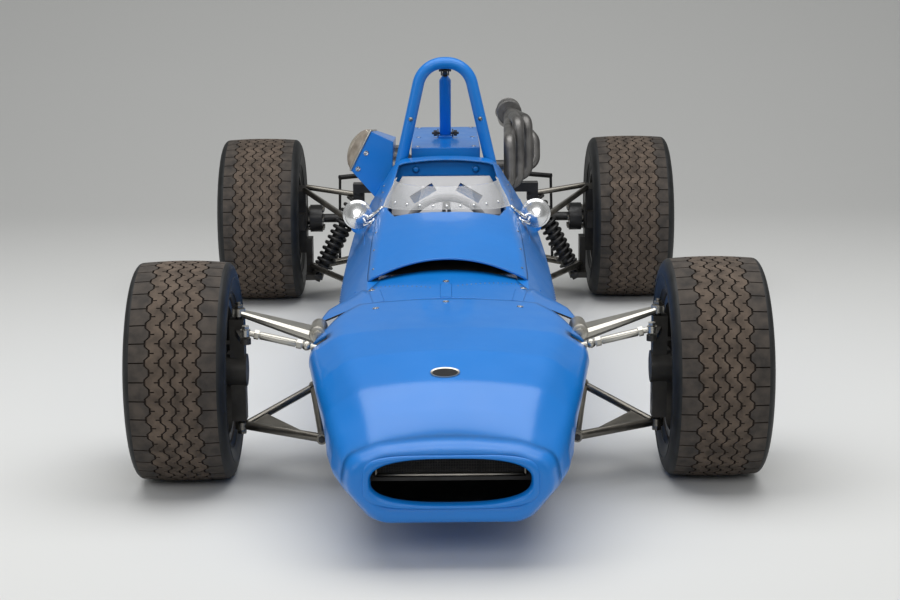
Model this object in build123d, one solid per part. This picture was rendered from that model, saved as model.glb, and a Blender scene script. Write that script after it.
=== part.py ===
from build123d import *
import math
import os

# An open wheel racing car of the late nineteen sixties: a low blue monocoque with a shovel nose,
# rocker-arm front suspension, a four-cylinder engine behind the driver and wide treaded tyres.
# Millimetres. +Z is up, the nose points along -Y, +X is the car's left side.
# The origin is on the ground, under the middle of the car's length and width.

# Driving dimensions
NOSE_OVERHANG = 730      # nose tip to front axle
WHEELBASE = 2300
TAIL_OVERHANG = 570      # rear axle to the end of the tailpipe
FRONT_TRACK = 1300
REAR_TRACK = 1332
GROUND_CLEARANCE = 80    # under the floor of the tub
SKIN = 5                 # moulded bodywork
RUN_GAP = 0.3            # between pieces that seat on curved faces

LENGTH = NOSE_OVERHANG + WHEELBASE + TAIL_OVERHANG
NOSE_Y = -LENGTH / 2
FRONT_Y = NOSE_Y + NOSE_OVERHANG
REAR_Y = FRONT_Y + WHEELBASE
TAIL_Y = LENGTH / 2

# Wheels: tyre radius, section width, rim half width and bead radius
FRONT_TYRE_R = 272
FRONT_TYRE_W = 242
FRONT_RIM_W = 206
REAR_TYRE_R = 292
REAR_TYRE_W = 286
REAR_RIM_W = 256
BEAD_R = 165
RIM_WALL = 6
BEAD_IN = 8.5            # bead inside the rim's edge, clear of the flange
BEAD_WALL = 15           # straight part of the wall above the bead
DISC_R = 128
DISC_T = 11
HUB_BORE_R = 24

# Steering
KINGPIN_X = 518
ARM_LENGTH = 120         # kingpin to tie rod ball, ahead of the axle
PIN_R = 8                # kingpin in its eyes
STUB_END = 716           # outer ends of the stub axles
REAR_STUB_END = 740
REAR_HUB = 548           # outer face of the rear upright's hub
TIE_ROD_Z = 392          # outer eyes of the tie rods
RACK_Z = 312             # the rack, lower than the eyes
RACK_R = 15
RACK_HALF = 150
WHEEL_RIM_R = 130        # steering wheel, to the middle of its grip
WHEEL_GRIP_R = 12
COLUMN_R = 9


def mirrored(shape):
    """The same piece on the other side of the car."""
    return mirror(shape, about=Plane.YZ)


def both_sides(shape):
    return Compound([*shape.solids(), *mirrored(shape).solids()])


def rod(start, end, radius):
    """A straight round bar or tube from start to end."""
    start, end = Vector(*start), Vector(*end)
    along = end - start
    return Solid.make_cylinder(radius, along.length, Plane(start, z_dir=along))


def bent_tube(points, bend, radius):
    """A round tube along straight runs joined by arcs of one bend radius."""
    path = FilletPolyline(*points, radius=bend)
    return sweep(Plane(path @ 0, z_dir=path % 0) * Circle(radius), path=path)


def disc_x(x0, x1, radius, y, z, bore=0):
    """A disc between two places along X, with an optional hole."""
    low, high = min(x0, x1), max(x0, x1)
    plane = Plane((low, y, z), z_dir=(1, 0, 0))
    disc = Solid.make_cylinder(radius, high - low, plane)
    if bore:
        disc -= Solid.make_cylinder(bore, high - low, plane)
    return disc


def block(x0, x1, y0, y1, z0, z1):
    return Pos((x0 + x1) / 2, (y0 + y1) / 2, (z0 + z1) / 2) * Box(abs(x1 - x0), abs(y1 - y0), abs(z1 - z0))


def prism_y(points, y0, y1):
    """A flat XZ outline carried from y0 to y1."""
    wire = Polyline(*[(x, y0, z) for x, z in points], close=True)
    return extrude(Face(Wire(wire.edges())), amount=y1 - y0, dir=(0, 1, 0))


def prism_x(points, x0, x1):
    """A flat YZ outline carried from x0 to x1."""
    wire = Polyline(*[(x0, y, z) for y, z in points], close=True)
    return extrude(Face(Wire(wire.edges())), amount=x1 - x0, dir=(1, 0, 0))


def prism_z(points, z0, z1):
    """A flat XY outline carried from z0 to z1."""
    wire = Polyline(*[(x, y, z0) for x, y in points], close=True)
    return extrude(Face(Wire(wire.edges())), amount=z1 - z0, dir=(0, 0, 1))


CROWN_SHARE = 0.8        # part of the top's width that its large arc takes


def crowned_outline(half, top_z, y, radii):
    """A closed XZ outline, the same on both sides: half runs from the crown's edge down to the
    floor, radii are those of its corners, and one large arc rounds the top."""
    crown_w, crown_z = half[0]
    rise = (top_z - crown_z) / (2 - CROWN_SHARE)
    crown_radius = CROWN_SHARE * (crown_w**2 + rise**2) / (2 * rise)
    right = [(x, y, z) for x, z in half]
    left = [(-x, y, z) for x, z in reversed(half)]
    apex = (0, y, crown_z + 2 * rise)
    outline = FilletPolyline(apex, *right, *left, radius=[crown_radius, *radii, *reversed(radii)], close=True)
    return Face(Wire(outline.edges()))


def write(name, shape):
    export_step(Compound(shape.solids()), f"parts/{name}.step")


# Nose cone. Columns: place behind the nose tip, half widths and heights of the floor edge,
# the flank, the shoulder and the crown's edge, then the height of the crown's middle.
NOSE_ROWS = [
    # back, floor_w, floor_z, flank_w, flank_z, shoulder_w, shoulder_z, crown_w, crown_z, top_z
    (22, 160, 102, 227, 180, 216, 240, 150, 264, 275),
    (50, 168, 95, 240, 182, 229, 246, 157, 276, 288),
    (130, 188, 86, 262, 187, 252, 264, 174, 307, 323),
    (230, 206, 80, 276, 190, 278, 291, 198, 345, 362),
    (380, 224, 78, 288, 196, 312, 316, 232, 378, 397),
    (560, 240, 78, 298, 180, 342, 344, 260, 396, 413),
    (730, 252, 78, 298, 170, 350, 352, 268, 402, 420),
    (900, 254, 78, 298, 180, 352, 358, 270, 408, 426),
]
NOSE_ROUNDS = (95, 42, 38, 62)   # corner radii from the crown's edge down to the floor
NOSE_END = 850           # rear edge of the nose on the centre line, behind the tip
NOSE_CORNER_W = 225      # where the rear edge starts its slant forward
NOSE_TIP_W = 335         # end of the slant, at the flank
NOSE_TIP_END = 640
NOSE_FLANK_END = 600     # flank below the shoulder, ahead of the suspension brackets
NOSE_FLANK_TOP = 318     # the flank is cut away below this behind its end
ROD_SLOT = (300, 378)    # heights of the slot that lets the tie rod out of the nose
MOUTH_W = 172
MOUTH_LOW = 145
MOUTH_HIGH = 250
MOUTH_CORNER = 46
LIP_DEPTH = 42           # solid rolled lip around the mouth
LIP_ROWS = [
    # the same columns, from the front of the lip back to the first row above
    (0, 144, 122, 198, 184, 190, 230, 136, 250, 260),
    (3, 150, 113, 213, 182, 203, 235, 142, 257, 267),
    (10, 156, 106, 222, 181, 211, 238, 147, 261, 272),
]
MOUTH_FLARE = [(0, 9), (3, 4), (9, 0), (LIP_DEPTH + 3, 0)]   # behind the tip, growth of the mouth


def nose_section(row, inset=0.0, y=None):
    """One closed outline of the nose: a rounded hull with a crowned top."""
    back, floor_w, floor_z, flank_w, flank_z, shoulder_w, shoulder_z, crown_w, crown_z, top_z = row
    y = NOSE_Y + back if y is None else y
    half = [
        (crown_w - inset, crown_z - inset), (shoulder_w - inset, shoulder_z - inset / 2),
        (flank_w - inset, flank_z), (floor_w - inset, floor_z + inset),
    ]
    return crowned_outline(half, top_z - inset, y, [radius - inset for radius in NOSE_ROUNDS])


def mouth_outline(y, grow):
    """The rounded mouth on a plane across the nose."""
    plane = Plane((0, y, (MOUTH_LOW + MOUTH_HIGH) / 2), x_dir=(1, 0, 0), z_dir=(0, 1, 0))
    return plane * RectangleRounded(2 * (MOUTH_W + grow), MOUTH_HIGH - MOUTH_LOW + 2 * grow, MOUTH_CORNER + grow)


def make_nose_cone():
    outer = loft([nose_section(row) for row in LIP_ROWS + NOSE_ROWS], ruled=True)
    inner = loft(
        [nose_section(NOSE_ROWS[1], SKIN, NOSE_Y + LIP_DEPTH)]
        + [nose_section(row, SKIN) for row in NOSE_ROWS[2:-1]]
        + [nose_section(NOSE_ROWS[-1], SKIN, NOSE_Y + NOSE_ROWS[-1][0] + 1)],
        ruled=True,
    )
    shell = outer - inner
    shell -= loft([mouth_outline(NOSE_Y + back, grow) for back, grow in MOUTH_FLARE], ruled=True)
    far = 700
    centre_y, tip_y = NOSE_Y + NOSE_END, NOSE_Y + NOSE_TIP_END
    right = [(NOSE_CORNER_W, centre_y), (NOSE_TIP_W, tip_y), (far, tip_y), (far, far)]
    shell -= prism_z(right + [(-x, y) for x, y in reversed(right)], -far, far)
    for side in (1, -1):
        shell -= block(side * 245, side * 400, NOSE_Y + NOSE_FLANK_END, 0, 0, NOSE_FLANK_TOP)
        shell -= block(side * 240, side * 400, RACK_Y - 13, RACK_Y + 30, *ROD_SLOT)
    return shell


# The tub and the bodywork above it share one set of sections. Columns: place along the car,
# half widths and heights of the floor edge, the flank, the shoulder and the crown's edge,
# then the height of the crown's middle.
TUB_FRONT = -949.7
COCKPIT_BACK = 400       # front face of the box behind the seat
BOX_BACK = 505           # rear face of that box, where the engine starts
TUB_REAR = 560
HORN_END = 1030
BODY_ROWS = [
    # y, floor_w, flank_w, flank_z, shoulder_w, shoulder_z, crown_w, crown_z, top_z
    (-949.7, 250, 296, 200, 285, 330, 232, 402, 450),
    (-720, 256, 302, 200, 290, 345, 204, 434, 486),
    (-320, 264, 314, 200, 300, 355, 194, 520, 549),
    (0, 266, 316, 200, 302, 360, 180, 560, 590),
    (372, 266, 316, 200, 302, 360, 158, 598, 612),
    (560, 266, 314, 200, 300, 360, 156, 602, 616),
]
BODY_ROUNDS = (60, 70, 90, 26)    # corner radii from the crown's edge down to the floor
FLOOR_TRIM = 3           # the hull's floor is cut flat this much above its lofted underside
SEAM = [(-960, 398), (-670, 430), (-270, 506), (0, 515), (600, 515)]   # y, z of the tub's top edge
COCKPIT_W = 184
COCKPIT_FLOOR = 92
SCUTTLE_FRONT = -720
SCUTTLE_REAR = 376
SHEET = 4


def body_section(row, inset=0.0, y=None):
    place, floor_w, flank_w, flank_z, shoulder_w, shoulder_z, crown_w, crown_z, top_z = row
    y = place if y is None else y
    half = [
        (crown_w - inset, crown_z - inset), (shoulder_w - inset, shoulder_z - inset / 2),
        (flank_w - inset, flank_z), (floor_w - inset, GROUND_CLEARANCE - FLOOR_TRIM + inset),
    ]
    return crowned_outline(half, top_z - inset, y, [radius - inset for radius in BODY_ROUNDS])


def body_hull(inset=0.0):
    return loft([body_section(row, inset) for row in BODY_ROWS])


def above_seam(rise=0.0):
    """Everything above the line where the bodywork meets the tub."""
    points = [(y, z + rise) for y, z in SEAM]
    return prism_x(points + [(600, 900), (-960, 900)], -500, 500)


def make_tub():
    """A riveted sheet hull: two side boxes, a floor and the boxes ahead of and behind the driver."""
    tub = body_hull() - above_seam()
    tub -= block(-400, 400, TUB_FRONT - 1, TUB_REAR + 1, 0, GROUND_CLEARANCE)
    tub -= block(-COCKPIT_W, COCKPIT_W, TUB_FRONT + 14, COCKPIT_BACK, COCKPIT_FLOOR, 700)
    tub -= block(-204, 204, BOX_BACK, TUB_REAR + 1, 0, 700)
    horn = prism_y([(206, 90), (262, 84), (308, 190), (306, 300), (262, 372), (206, 372)], TUB_REAR - 1, HORN_END)
    tub += both_sides(horn)
    bracket = block(285, 343, -886, -854, 160, 192)
    tub += both_sides(bracket - block(0, 240, -900, -800, 0, 400))
    tub += both_sides(rod((290, 392, 390), (290, 470, 390), 17))
    column = rod(COLUMN_END, COLUMN_WHEEL, COLUMN_R + 6)
    return tub - column


def make_scuttle():
    """The moulded body top around the cockpit, with its raised front lip."""
    shell = body_hull() - body_hull(SHEET)
    shell = shell & above_seam(RUN_GAP)
    shell = shell & block(-400, 400, SCUTTLE_FRONT, SCUTTLE_REAR, 300, 800)
    half = [(0, -322), (150, -300), (172, -215), (150, SCUTTLE_REAR + 1)]
    opening = prism_z(half + [(-x, y) for x, y in reversed(half[1:])], 400, 800)
    return shell - opening


VENT = [(-684, 434), (-520, 528), (-520, 532), (-684, 438)]     # y, z of the sheet that closes the lip's slot


def make_vent_panel():
    """A dark sheet that slopes up from the hatch to the scuttle and closes the slot under its lip."""
    sheet = prism_x(VENT, -214, 214) & body_hull(SHEET + RUN_GAP)
    return sheet & above_seam(2 * RUN_GAP)


def make_shoulder_panel():
    """The panel behind the driver's shoulders, boxed back to the roll hoop."""
    skin = (body_hull() - body_hull(SHEET)) & above_seam(RUN_GAP)
    skin = skin & block(-400, 400, SCUTTLE_REAR + RUN_GAP, BOX_BACK, 300, 800)
    face = (body_hull(SHEET - 0.5) & above_seam(RUN_GAP)) & block(-400, 400, 394, 400, 300, 800)
    face -= prism_y([(-150, 500), (150, 500), (128, 556), (-128, 556)], 390, 405)
    top = block(-170, 170, 455, BOX_BACK, 560, 700)
    panel = skin + face - top
    for side in (1, -1):
        panel -= rod((side * 96, 390, 578), (side * 96, 410, 578), 5)
    return panel


HATCH_ROWS = [
    # y, edge_w, edge_z, crown_w, crown_z, top_z
    (-1010, 336, 372, 226, 405, 422),
    (-949.7, 330, 376, 224, 407, 425),
    (-820, 280, 388, 214, 414, 438),
    (-690, 232, 396, 202, 420, 450),
]


def hatch_section(row, inset=0.0):
    y, edge_w, edge_z, crown_w, crown_z, top_z = row
    right = [(crown_w, y, crown_z - inset), (edge_w - inset, y, edge_z - inset), (edge_w - inset, y, 300)]
    left = [(-x, b, z) for x, b, z in reversed(right)]
    base = Polyline(*right, *left)
    crown = ThreePointArc(left[-1], (0, y, top_z - inset), right[0])
    return Face(Wire([*base.edges(), crown]))


def make_front_hatch():
    """The cover between the nose and the scuttle lip, with a wing over each rocker arm."""
    cover = loft([hatch_section(row) for row in HATCH_ROWS]) - loft([hatch_section(row, SHEET) for row in HATCH_ROWS])
    cover = cover & block(-400, 400, -1010, -690, 366, 500)
    half = [(NOSE_CORNER_W + 1, TUB_FRONT), (324, -1004), (300, -830), (232, -700), (200, -690)]
    return cover & prism_z(half + [(-x, y) for x, y in reversed(half)], 300, 500)


WINDSCREEN_T = 3
SCREEN_ROWS = [
    # z, y at the middle, y at the ends, half width at the ends
    (510, -326, -180, 196),
    (560, -290, -130, 176),
    (612, -250, -60, 146),
]


def make_windscreen():
    """A thin clear wrap round the front of the cockpit, leaning back."""
    def outline(row, grow):
        z, mid_y, end_y, half_w = row
        return Face(Wire([
            ThreePointArc((-half_w - grow, end_y, z), (0, mid_y - grow, z), (half_w + grow, end_y, z)).edge(),
            Line((half_w + grow, end_y, z), (half_w + grow, end_y + 200, z)).edge(),
            Line((half_w + grow, end_y + 200, z), (-half_w - grow, end_y + 200, z)).edge(),
            Line((-half_w - grow, end_y + 200, z), (-half_w - grow, end_y, z)).edge(),
        ]))
    outer = loft([outline(row, WINDSCREEN_T) for row in SCREEN_ROWS], ruled=True)
    inner = loft([outline(row, 0) for row in SCREEN_ROWS], ruled=True)
    screen = outer - inner
    ends = prism_x([(-180, 400), (-180, 520), (-40, 620), (100, 700), (300, 700), (300, 400)], -400, 400)
    return screen - ends - body_hull(-RUN_GAP)


# Front frame, radiator and front suspension
FRAME_FRONT = -1250
RACK_Y = FRONT_Y - ARM_LENGTH


def make_front_frame():
    """The fabricated box inside the nose that carries the front suspension."""
    outline = [(-182, 86), (182, 86), (226, 134), (240, 343), (-240, 343), (-226, 134)]
    inside = [(-168, 94), (168, 94), (204, 140), (216, 344), (-216, 344), (-204, 140)]
    frame = prism_y(outline, FRAME_FRONT, TUB_FRONT - 0.3) - prism_y(inside, FRAME_FRONT + 14, TUB_FRONT)
    shelf = block(236, 316, FRONT_Y - 46, FRONT_Y + 46, 318, 342)
    foot_front = block(225, 300, -1186, -1154, 106, 138)
    notch = block(190, 260, RACK_Y - 13, RACK_Y + 13, 304, 350)
    housing = block(-70, 70, RACK_Y - 24, RACK_Y + 24, 90, RACK_Z + 20)
    housing -= rod((-80, RACK_Y, RACK_Z), (80, RACK_Y, RACK_Z), RACK_R + 0.05)
    return frame + both_sides(shelf) + both_sides(foot_front) - both_sides(notch) + housing


def make_radiator():
    core = Pos(0, -1678, 216) * Rot(-14, 0, 0) * (Box(352, 34, 96) - Pos(0, -17, 0) * Box(328, 8, 74))
    rails = [block(s * 120 - 8, s * 120 + 8, -1664, FRAME_FRONT, 196, 216) for s in (1, -1)]
    return core + rails


def make_rocker(frame):
    """A fabricated top rocker arm, tapering from its pivot to the upright."""
    def cross(x, mid_z, chord, tall):
        half, edge = chord / 2, tall / 2
        corner = 0.6 * edge
        upper = [(half, 0.4 * edge), (half - corner, edge), (corner - half, edge), (-half, 0.4 * edge)]
        ring = upper + [(y, -z) for y, z in reversed(upper)]
        wire = Polyline(*[(x, FRONT_Y + y, mid_z + z) for y, z in ring], close=True)
        return Face(Wire(wire.edges()))
    arm = loft([cross(262, 350, 92, 22), cross(322, 356, 92, 31), cross(510, 415, 36, 15)], ruled=True)
    eye = Solid.make_cylinder(17, 18, Plane((KINGPIN_X, FRONT_Y, 409)))
    arm = arm + eye - Solid.make_cylinder(PIN_R + 0.05, 60, Plane((KINGPIN_X, FRONT_Y, 390)))
    return arm - frame


def web(first, second, third, thickness):
    """A flat three-cornered sheet between tubes."""
    normal = (second - first).cross(third - first).normalized()
    corners = [corner - normal * (thickness / 2) for corner in (first, second, third)]
    return extrude(Face(Wire(Polyline(*corners, close=True).edges())), amount=thickness, dir=normal)


def make_lower_arm(tub, frame):
    """A wide wishbone of round tube: front leg, rear leg, inner cross tube and ball housing."""
    ball = (KINGPIN_X, FRONT_Y, 130)
    front, rear = (312, -1170, 122), (352, -870, 176)
    arm = rod((505, FRONT_Y - 4, 130), front, 11) + rod((505, FRONT_Y + 4, 131), rear, 10) + rod(front, rear, 9)
    for place in (front, rear):
        arm += rod((place[0], place[1] - 14, place[2]), (place[0], place[1] + 14, place[2]), 13)
    arm += web(Vector(505, FRONT_Y - 4, 130), Vector(*front) + Vector(22, 10, 0), Vector(462, FRONT_Y + 52, 144), 5)
    arm += Solid.make_cylinder(17, 18, Plane((KINGPIN_X, FRONT_Y, 121)))
    arm -= Solid.make_cylinder(PIN_R + 0.05, 60, Plane((KINGPIN_X, FRONT_Y, 100)))
    return arm - frame - tub


def make_knuckle():
    """The left front upright with its stub axle, steering arm and brake caliper."""
    post = block(504, 540, FRONT_Y - 22, FRONT_Y + 22, 146, 402)
    hub = disc_x(500, 558, 40, FRONT_Y, FRONT_TYRE_R)
    stub = disc_x(540, STUB_END, HUB_BORE_R - 0.05, FRONT_Y, FRONT_TYRE_R)
    pins = Solid.make_cylinder(PIN_R, 306, Plane((KINGPIN_X, FRONT_Y, 121)))
    arm = prism_z([(530, FRONT_Y), (504, FRONT_Y + 10), (478, RACK_Y), (502, RACK_Y)], TIE_ROD_Z - 28, TIE_ROD_Z - 14)
    arm += Solid.make_cylinder(13, 14, Plane((490, RACK_Y, TIE_ROD_Z - 28)))
    caliper = block(548, 598, FRONT_Y + 88, FRONT_Y + 138, FRONT_TYRE_R - 45, FRONT_TYRE_R + 45)
    caliper = caliper & disc_x(540, 600, 141, FRONT_Y, FRONT_TYRE_R)
    caliper -= disc_x(564.5, 586.5, 133.5, FRONT_Y, FRONT_TYRE_R)
    lug = block(520, 556, FRONT_Y, FRONT_Y + 100, FRONT_TYRE_R - 30, FRONT_TYRE_R + 30)
    return post + hub + stub + pins + arm + caliper + lug


def profile_ring(points, x, y, z):
    """A ring about the axle: points are (across, radius), across measured from x."""
    wire = Polyline(*[(x + a, y, z + r) for a, r in points], close=True)
    return revolve(Face(Wire(wire.edges())), axis=Axis((x, y, z), (1, 0, 0)))


def make_tyre(x, y, radius, width, rim_width):
    """A wide low racing tyre: a flat tread, bevelled shoulders and bulged walls."""
    half = width / 2
    bead = rim_width / 2 - BEAD_IN
    right = [
        (half - 39, radius), (half - 12, radius - 13), (half, radius - 45),
        (bead, BEAD_R + BEAD_WALL), (bead, BEAD_R),
    ]
    return profile_ring(right + [(-a, r) for a, r in reversed(right)], x, y, radius)


WINDOWS = 6
WINDOW_IN = 62           # inner and outer radius of the windows
WINDOW_OUT = 128
WINDOW_SPAN = 36         # degrees
RIM_FLANGE = 13          # flange above the bead seat
FACE_DEPTH = 40          # windowed face inboard of the rim's outer edge
FACE_T = 22
BOSS_R = 46
BOSS_OUT = 14


def window_outline(x, y, z):
    """A wedge between two radii, on a plane across the axle."""
    def at(radius, angle):
        turn = math.radians(angle)
        return (x, y + radius * math.sin(turn), z + radius * math.cos(turn))
    half = WINDOW_SPAN / 2
    return Face(Wire([
        ThreePointArc(at(WINDOW_IN, -half), at(WINDOW_IN, 0), at(WINDOW_IN, half)).edge(),
        Line(at(WINDOW_IN, half), at(WINDOW_OUT, half)).edge(),
        ThreePointArc(at(WINDOW_OUT, half), at(WINDOW_OUT, 0), at(WINDOW_OUT, -half)).edge(),
        Line(at(WINDOW_OUT, -half), at(WINDOW_IN, -half)).edge(),
    ]))


def make_rim(side, x, y, z, width, boss_end):
    """A cast wheel: a barrel with flanges, a windowed face near its outer edge and a hub boss."""
    half = width / 2
    seat = BEAD_R - RUN_GAP
    inside = seat - RIM_WALL
    flange = seat + RIM_FLANGE
    face_out = half - FACE_DEPTH
    face_in = face_out - FACE_T
    boss_in = boss_end - side * x
    profile = [
        (-half, inside), (-half, flange), (-half + 8, flange), (-half + 8, seat),
        (half - 8, seat), (half - 8, flange), (half, flange), (half, inside),
        (face_out, inside), (face_out, BOSS_R), (face_out + BOSS_OUT, BOSS_R), (face_out + BOSS_OUT, 0),
        (face_out + BOSS_OUT / 2, 0), (face_out + BOSS_OUT / 2, HUB_BORE_R), (boss_in, HUB_BORE_R),
        (boss_in, BOSS_R), (face_in, BOSS_R), (face_in, inside),
    ]
    rim = profile_ring([(side * a, r) for a, r in profile], x, y, z)
    window = extrude(window_outline(x, y, z), amount=2 * width, dir=(1, 0, 0), both=True)
    axle = Axis((x, y, z), (1, 0, 0))
    for i in range(WINDOWS):
        rim -= window.rotate(axle, 360 / WINDOWS * i)
    return rim


def make_disc(side, x, y, z):
    """A brake disc on its hat, whose outboard face sits on the wheel's boss."""
    profile = [
        (0, HUB_BORE_R), (0, DISC_R), (DISC_T, DISC_R), (DISC_T, HAT_R), (BELL, HAT_R), (BELL, HUB_BORE_R),
    ]
    return profile_ring([(side * a, r) for a, r in profile], side * x, y, z)


BELL = 40                # depth of the disc's hat
HAT_R = 80
FRONT_DISC_X = 570
REAR_DISC_X = 560

# Steering
COLUMN_WHEEL = (0, 30, 410)
COLUMN_END = (0, -1140, 346)


def make_steering_wheel():
    """A small three-spoke wheel on its column."""
    centre, end = Vector(*COLUMN_WHEEL), Vector(*COLUMN_END)
    along = (end - centre).normalized()
    plane = Plane(centre, x_dir=(1, 0, 0), z_dir=along)
    grip = RegularPolygon(WHEEL_GRIP_R, 8)
    rim = plane * revolve(Plane((WHEEL_RIM_R, 0, 0), x_dir=(1, 0, 0), z_dir=(0, -1, 0)) * grip, axis=Axis.Z)
    hub = Solid.make_cylinder(28, 26, Plane(centre - along * 6, z_dir=along))
    wheel = rim + hub + rod(COLUMN_WHEEL, COLUMN_END, COLUMN_R)
    for angle in (0, 120, 240):
        spoke = Pos(WHEEL_RIM_R / 2, 0, 3) * Box(WHEEL_RIM_R, 26, 4)
        wheel += plane * (Rot(0, 0, 90 + angle) * spoke)
    return wheel


def make_steering_rack():
    """The rack low in the front frame, its tie rods and their outer eyes."""
    bar = rod((-RACK_HALF, RACK_Y, RACK_Z), (RACK_HALF, RACK_Y, RACK_Z), RACK_R)
    rods = [rod((s * (RACK_HALF - 8), RACK_Y, RACK_Z), (s * 486, RACK_Y, TIE_ROD_Z), 7) for s in (1, -1)]
    eyes = [rod((s * 490, RACK_Y, TIE_ROD_Z - 8), (s * 490, RACK_Y, TIE_ROD_Z + 8), 12) for s in (1, -1)]
    return bar + rods + eyes


DASH_TOP = 511           # below the line of sight over the cowl


def make_dash(tub, scuttle):
    """The dash hoop under the scuttle, which also holds the steering column."""
    at_dash = (body_hull(SHEET + 0.5) & block(-400, 400, -136, -130, 440, DASH_TOP)) - scuttle
    at_dash = at_dash & block(-COCKPIT_W + 0.3, COCKPIT_W - 0.3, -200, 0, 440, DASH_TOP)
    t = (-133 - COLUMN_WHEEL[1]) / (COLUMN_END[1] - COLUMN_WHEEL[1])
    z = COLUMN_WHEEL[2] + t * (COLUMN_END[2] - COLUMN_WHEEL[2])
    hanger = block(-22, 22, -141, -125, z - 24, 446)
    return at_dash + hanger - rod(COLUMN_WHEEL, COLUMN_END, COLUMN_R + 0.05)


SEAT_W = 174


def make_seat():
    """A bare sheet seat: squab, raked back with two belt slots, and sides."""
    back = prism_x([(150, 100), (389, 556), (393.5, 556), (393.5, 540), (165, 93)], -SEAT_W, SEAT_W)
    back = back & prism_y([(-SEAT_W, 90), (-SEAT_W, 500), (-140, 556), (140, 556), (SEAT_W, 500), (SEAT_W, 90)], 100, 400)
    squab = prism_x([(-260, 93), (-260, 104), (-250, 108), (150, 108), (166, 93)], -SEAT_W, SEAT_W)
    seat = back + squab
    for side in (1, -1):
        slot = Pos(side * 74, 360, 506) * Rot(-28, 0, 0) * Rot(0, side * 32, 0) * Box(84, 80, 30)
        seat -= slot
    sides = [block(s * (SEAT_W - 4), s * SEAT_W, -120, 390, 93, 280) for s in (1, -1)]
    return seat + sides


# Engine, exhaust and gearbox
ENGINE_BACK = 1100
GEARBOX_BACK = 1560
CYLINDERS = [620, 730, 870, 980]


def make_engine_block():
    crank = prism_y([(-120, 96), (120, 96), (150, 150), (150, 320), (110, 430), (-110, 430), (-150, 320), (-150, 150)],
                    BOX_BACK + RUN_GAP, ENGINE_BACK)
    return crank


def make_cylinder_head():
    head = prism_y([(-86, 430), (100, 430), (104, 540), (80, 560), (-66, 560), (-90, 540)], 540, 1080)
    for x in (-42, 56):
        head += rod((x, 536, 562), (x, 1084, 562), 34)
    return head


def make_carburettors():
    pipes = [rod((-84, y, 505), (-200, y, 566), 25) for y in CYLINDERS]
    bodies = [block(-176, -126, y - 40, y + 40, 500, 590) for y in (675, 925)]
    return pipes[0] + pipes[1:] + bodies


# Air box: x, z of its corners at the front, then at the back, where it is lower.
AIR_BOX_FRONT = [(-247, 684), (-313, 556), (-232, 462), (-178, 505), (-172, 648)]
AIR_BOX_BACK = [(-244, 636), (-300, 527), (-230, 470), (-178, 505), (-174, 612)]
AIR_BOX_WALL = 5
AIR_FRONT, AIR_BACK = 560, 1020


def make_air_box():
    """A folded box along the intakes, open on its outer side."""
    def outline(points, y):
        return Face(Wire(Polyline(*[(x, y, z) for x, z in points], close=True).edges()))

    def inside(points, y):
        (top_x, top_z), (out_x, out_z), (foot_x, foot_z), (low_x, low_z), (high_x, high_z) = points
        wall = AIR_BOX_WALL
        return outline([
            (top_x, top_z - wall), (top_x - 18, top_z + 4), (out_x - 16, out_z + 12), (out_x + 2, out_z + 6),
            (foot_x, foot_z + wall + 2), (low_x - wall, low_z + 2), (high_x - wall, high_z - wall),
        ], y)
    box = loft([outline(AIR_BOX_FRONT, AIR_FRONT), outline(AIR_BOX_BACK, AIR_BACK)], ruled=True)
    return box - loft([inside(AIR_BOX_FRONT, AIR_FRONT + 5), inside(AIR_BOX_BACK, AIR_BACK - 5)], ruled=True)


def make_air_gauze():
    """A domed gauze over the open outer side of the air box."""
    def cap(y, rise):
        share = (y - AIR_FRONT) / (AIR_BACK - AIR_FRONT)
        top, low = [
            Vector(front[0], 0, front[1]) * (1 - share) + Vector(back[0], 0, back[1]) * share
            for front, back in zip(AIR_BOX_FRONT[:2], AIR_BOX_BACK[:2])
        ]
        a, b = top + Vector(-1, y, 0), low + Vector(0, y, 1)
        mid = (a + b) / 2 + Vector(-0.889, 0, 0.458) * rise
        return Face(Wire([ThreePointArc(a, mid, b).edge(), Line(b, a).edge()]))
    dome = loft([cap(AIR_FRONT + 4, 18), cap(AIR_FRONT + 40, 46), cap(AIR_BACK - 40, 46), cap(AIR_BACK - 4, 18)], ruled=True)
    return dome


def make_exhaust():
    """Four branches out of the head's left side, up into a collector, and a tailpipe."""
    collector = (228, 1060, 692)
    pipes = []
    table = [
        # port y, x of the riser, z of the loop's foot, z of the top bend
        (620, 214, 486, 640),
        (730, 247, 482, 690),
        (870, 283, 492, 680),
        (980, 314, 512, 600),
    ]
    for y, x, foot, top in table:
        points = [(102, y, 500), (150, y, foot), (x, y + 10, foot), (x, y + 30, top), collector]
        pipes.append(bent_tube(points, 32, 20))
    shape = pipes[0] + pipes[1:]
    shape += rod((228, 1040, 692), (228, 1150, 692), 40)
    shape += bent_tube([(228, 1130, 692), (228, 1260, 692), (232, 1500, 620), (232, TAIL_Y, 620)], 90, 30)
    flange = block(104.3, 114, 590, 1010, 470, 530)
    return (shape + flange) - block(0, 104.3, 0, 2000, 400, 600)


def make_gearbox():
    def flange(y, half_w, half_h, corner):
        quarter = [(half_w, half_h - corner), (half_w - corner, half_h)]
        upper = quarter + [(-x, z) for x, z in reversed(quarter)]
        ring = upper + [(x, -z) for x, z in reversed(upper)]
        return Face(Wire(Polyline(*[(x, y, 262 + z) for x, z in ring], close=True).edges()))
    bell = loft([flange(ENGINE_BACK, 145, 165, 40), flange(1200, 90, 130, 26)], ruled=True)
    case = Pos(0, 1380, 268) * Box(176, 364, 232)
    outputs = rod((-110, REAR_Y, REAR_TYRE_R), (110, REAR_Y, REAR_TYRE_R), 58)
    cover = Pos(0, 1500, 280) * Box(200, 24, 252)
    return bell + case + outputs + cover


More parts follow.
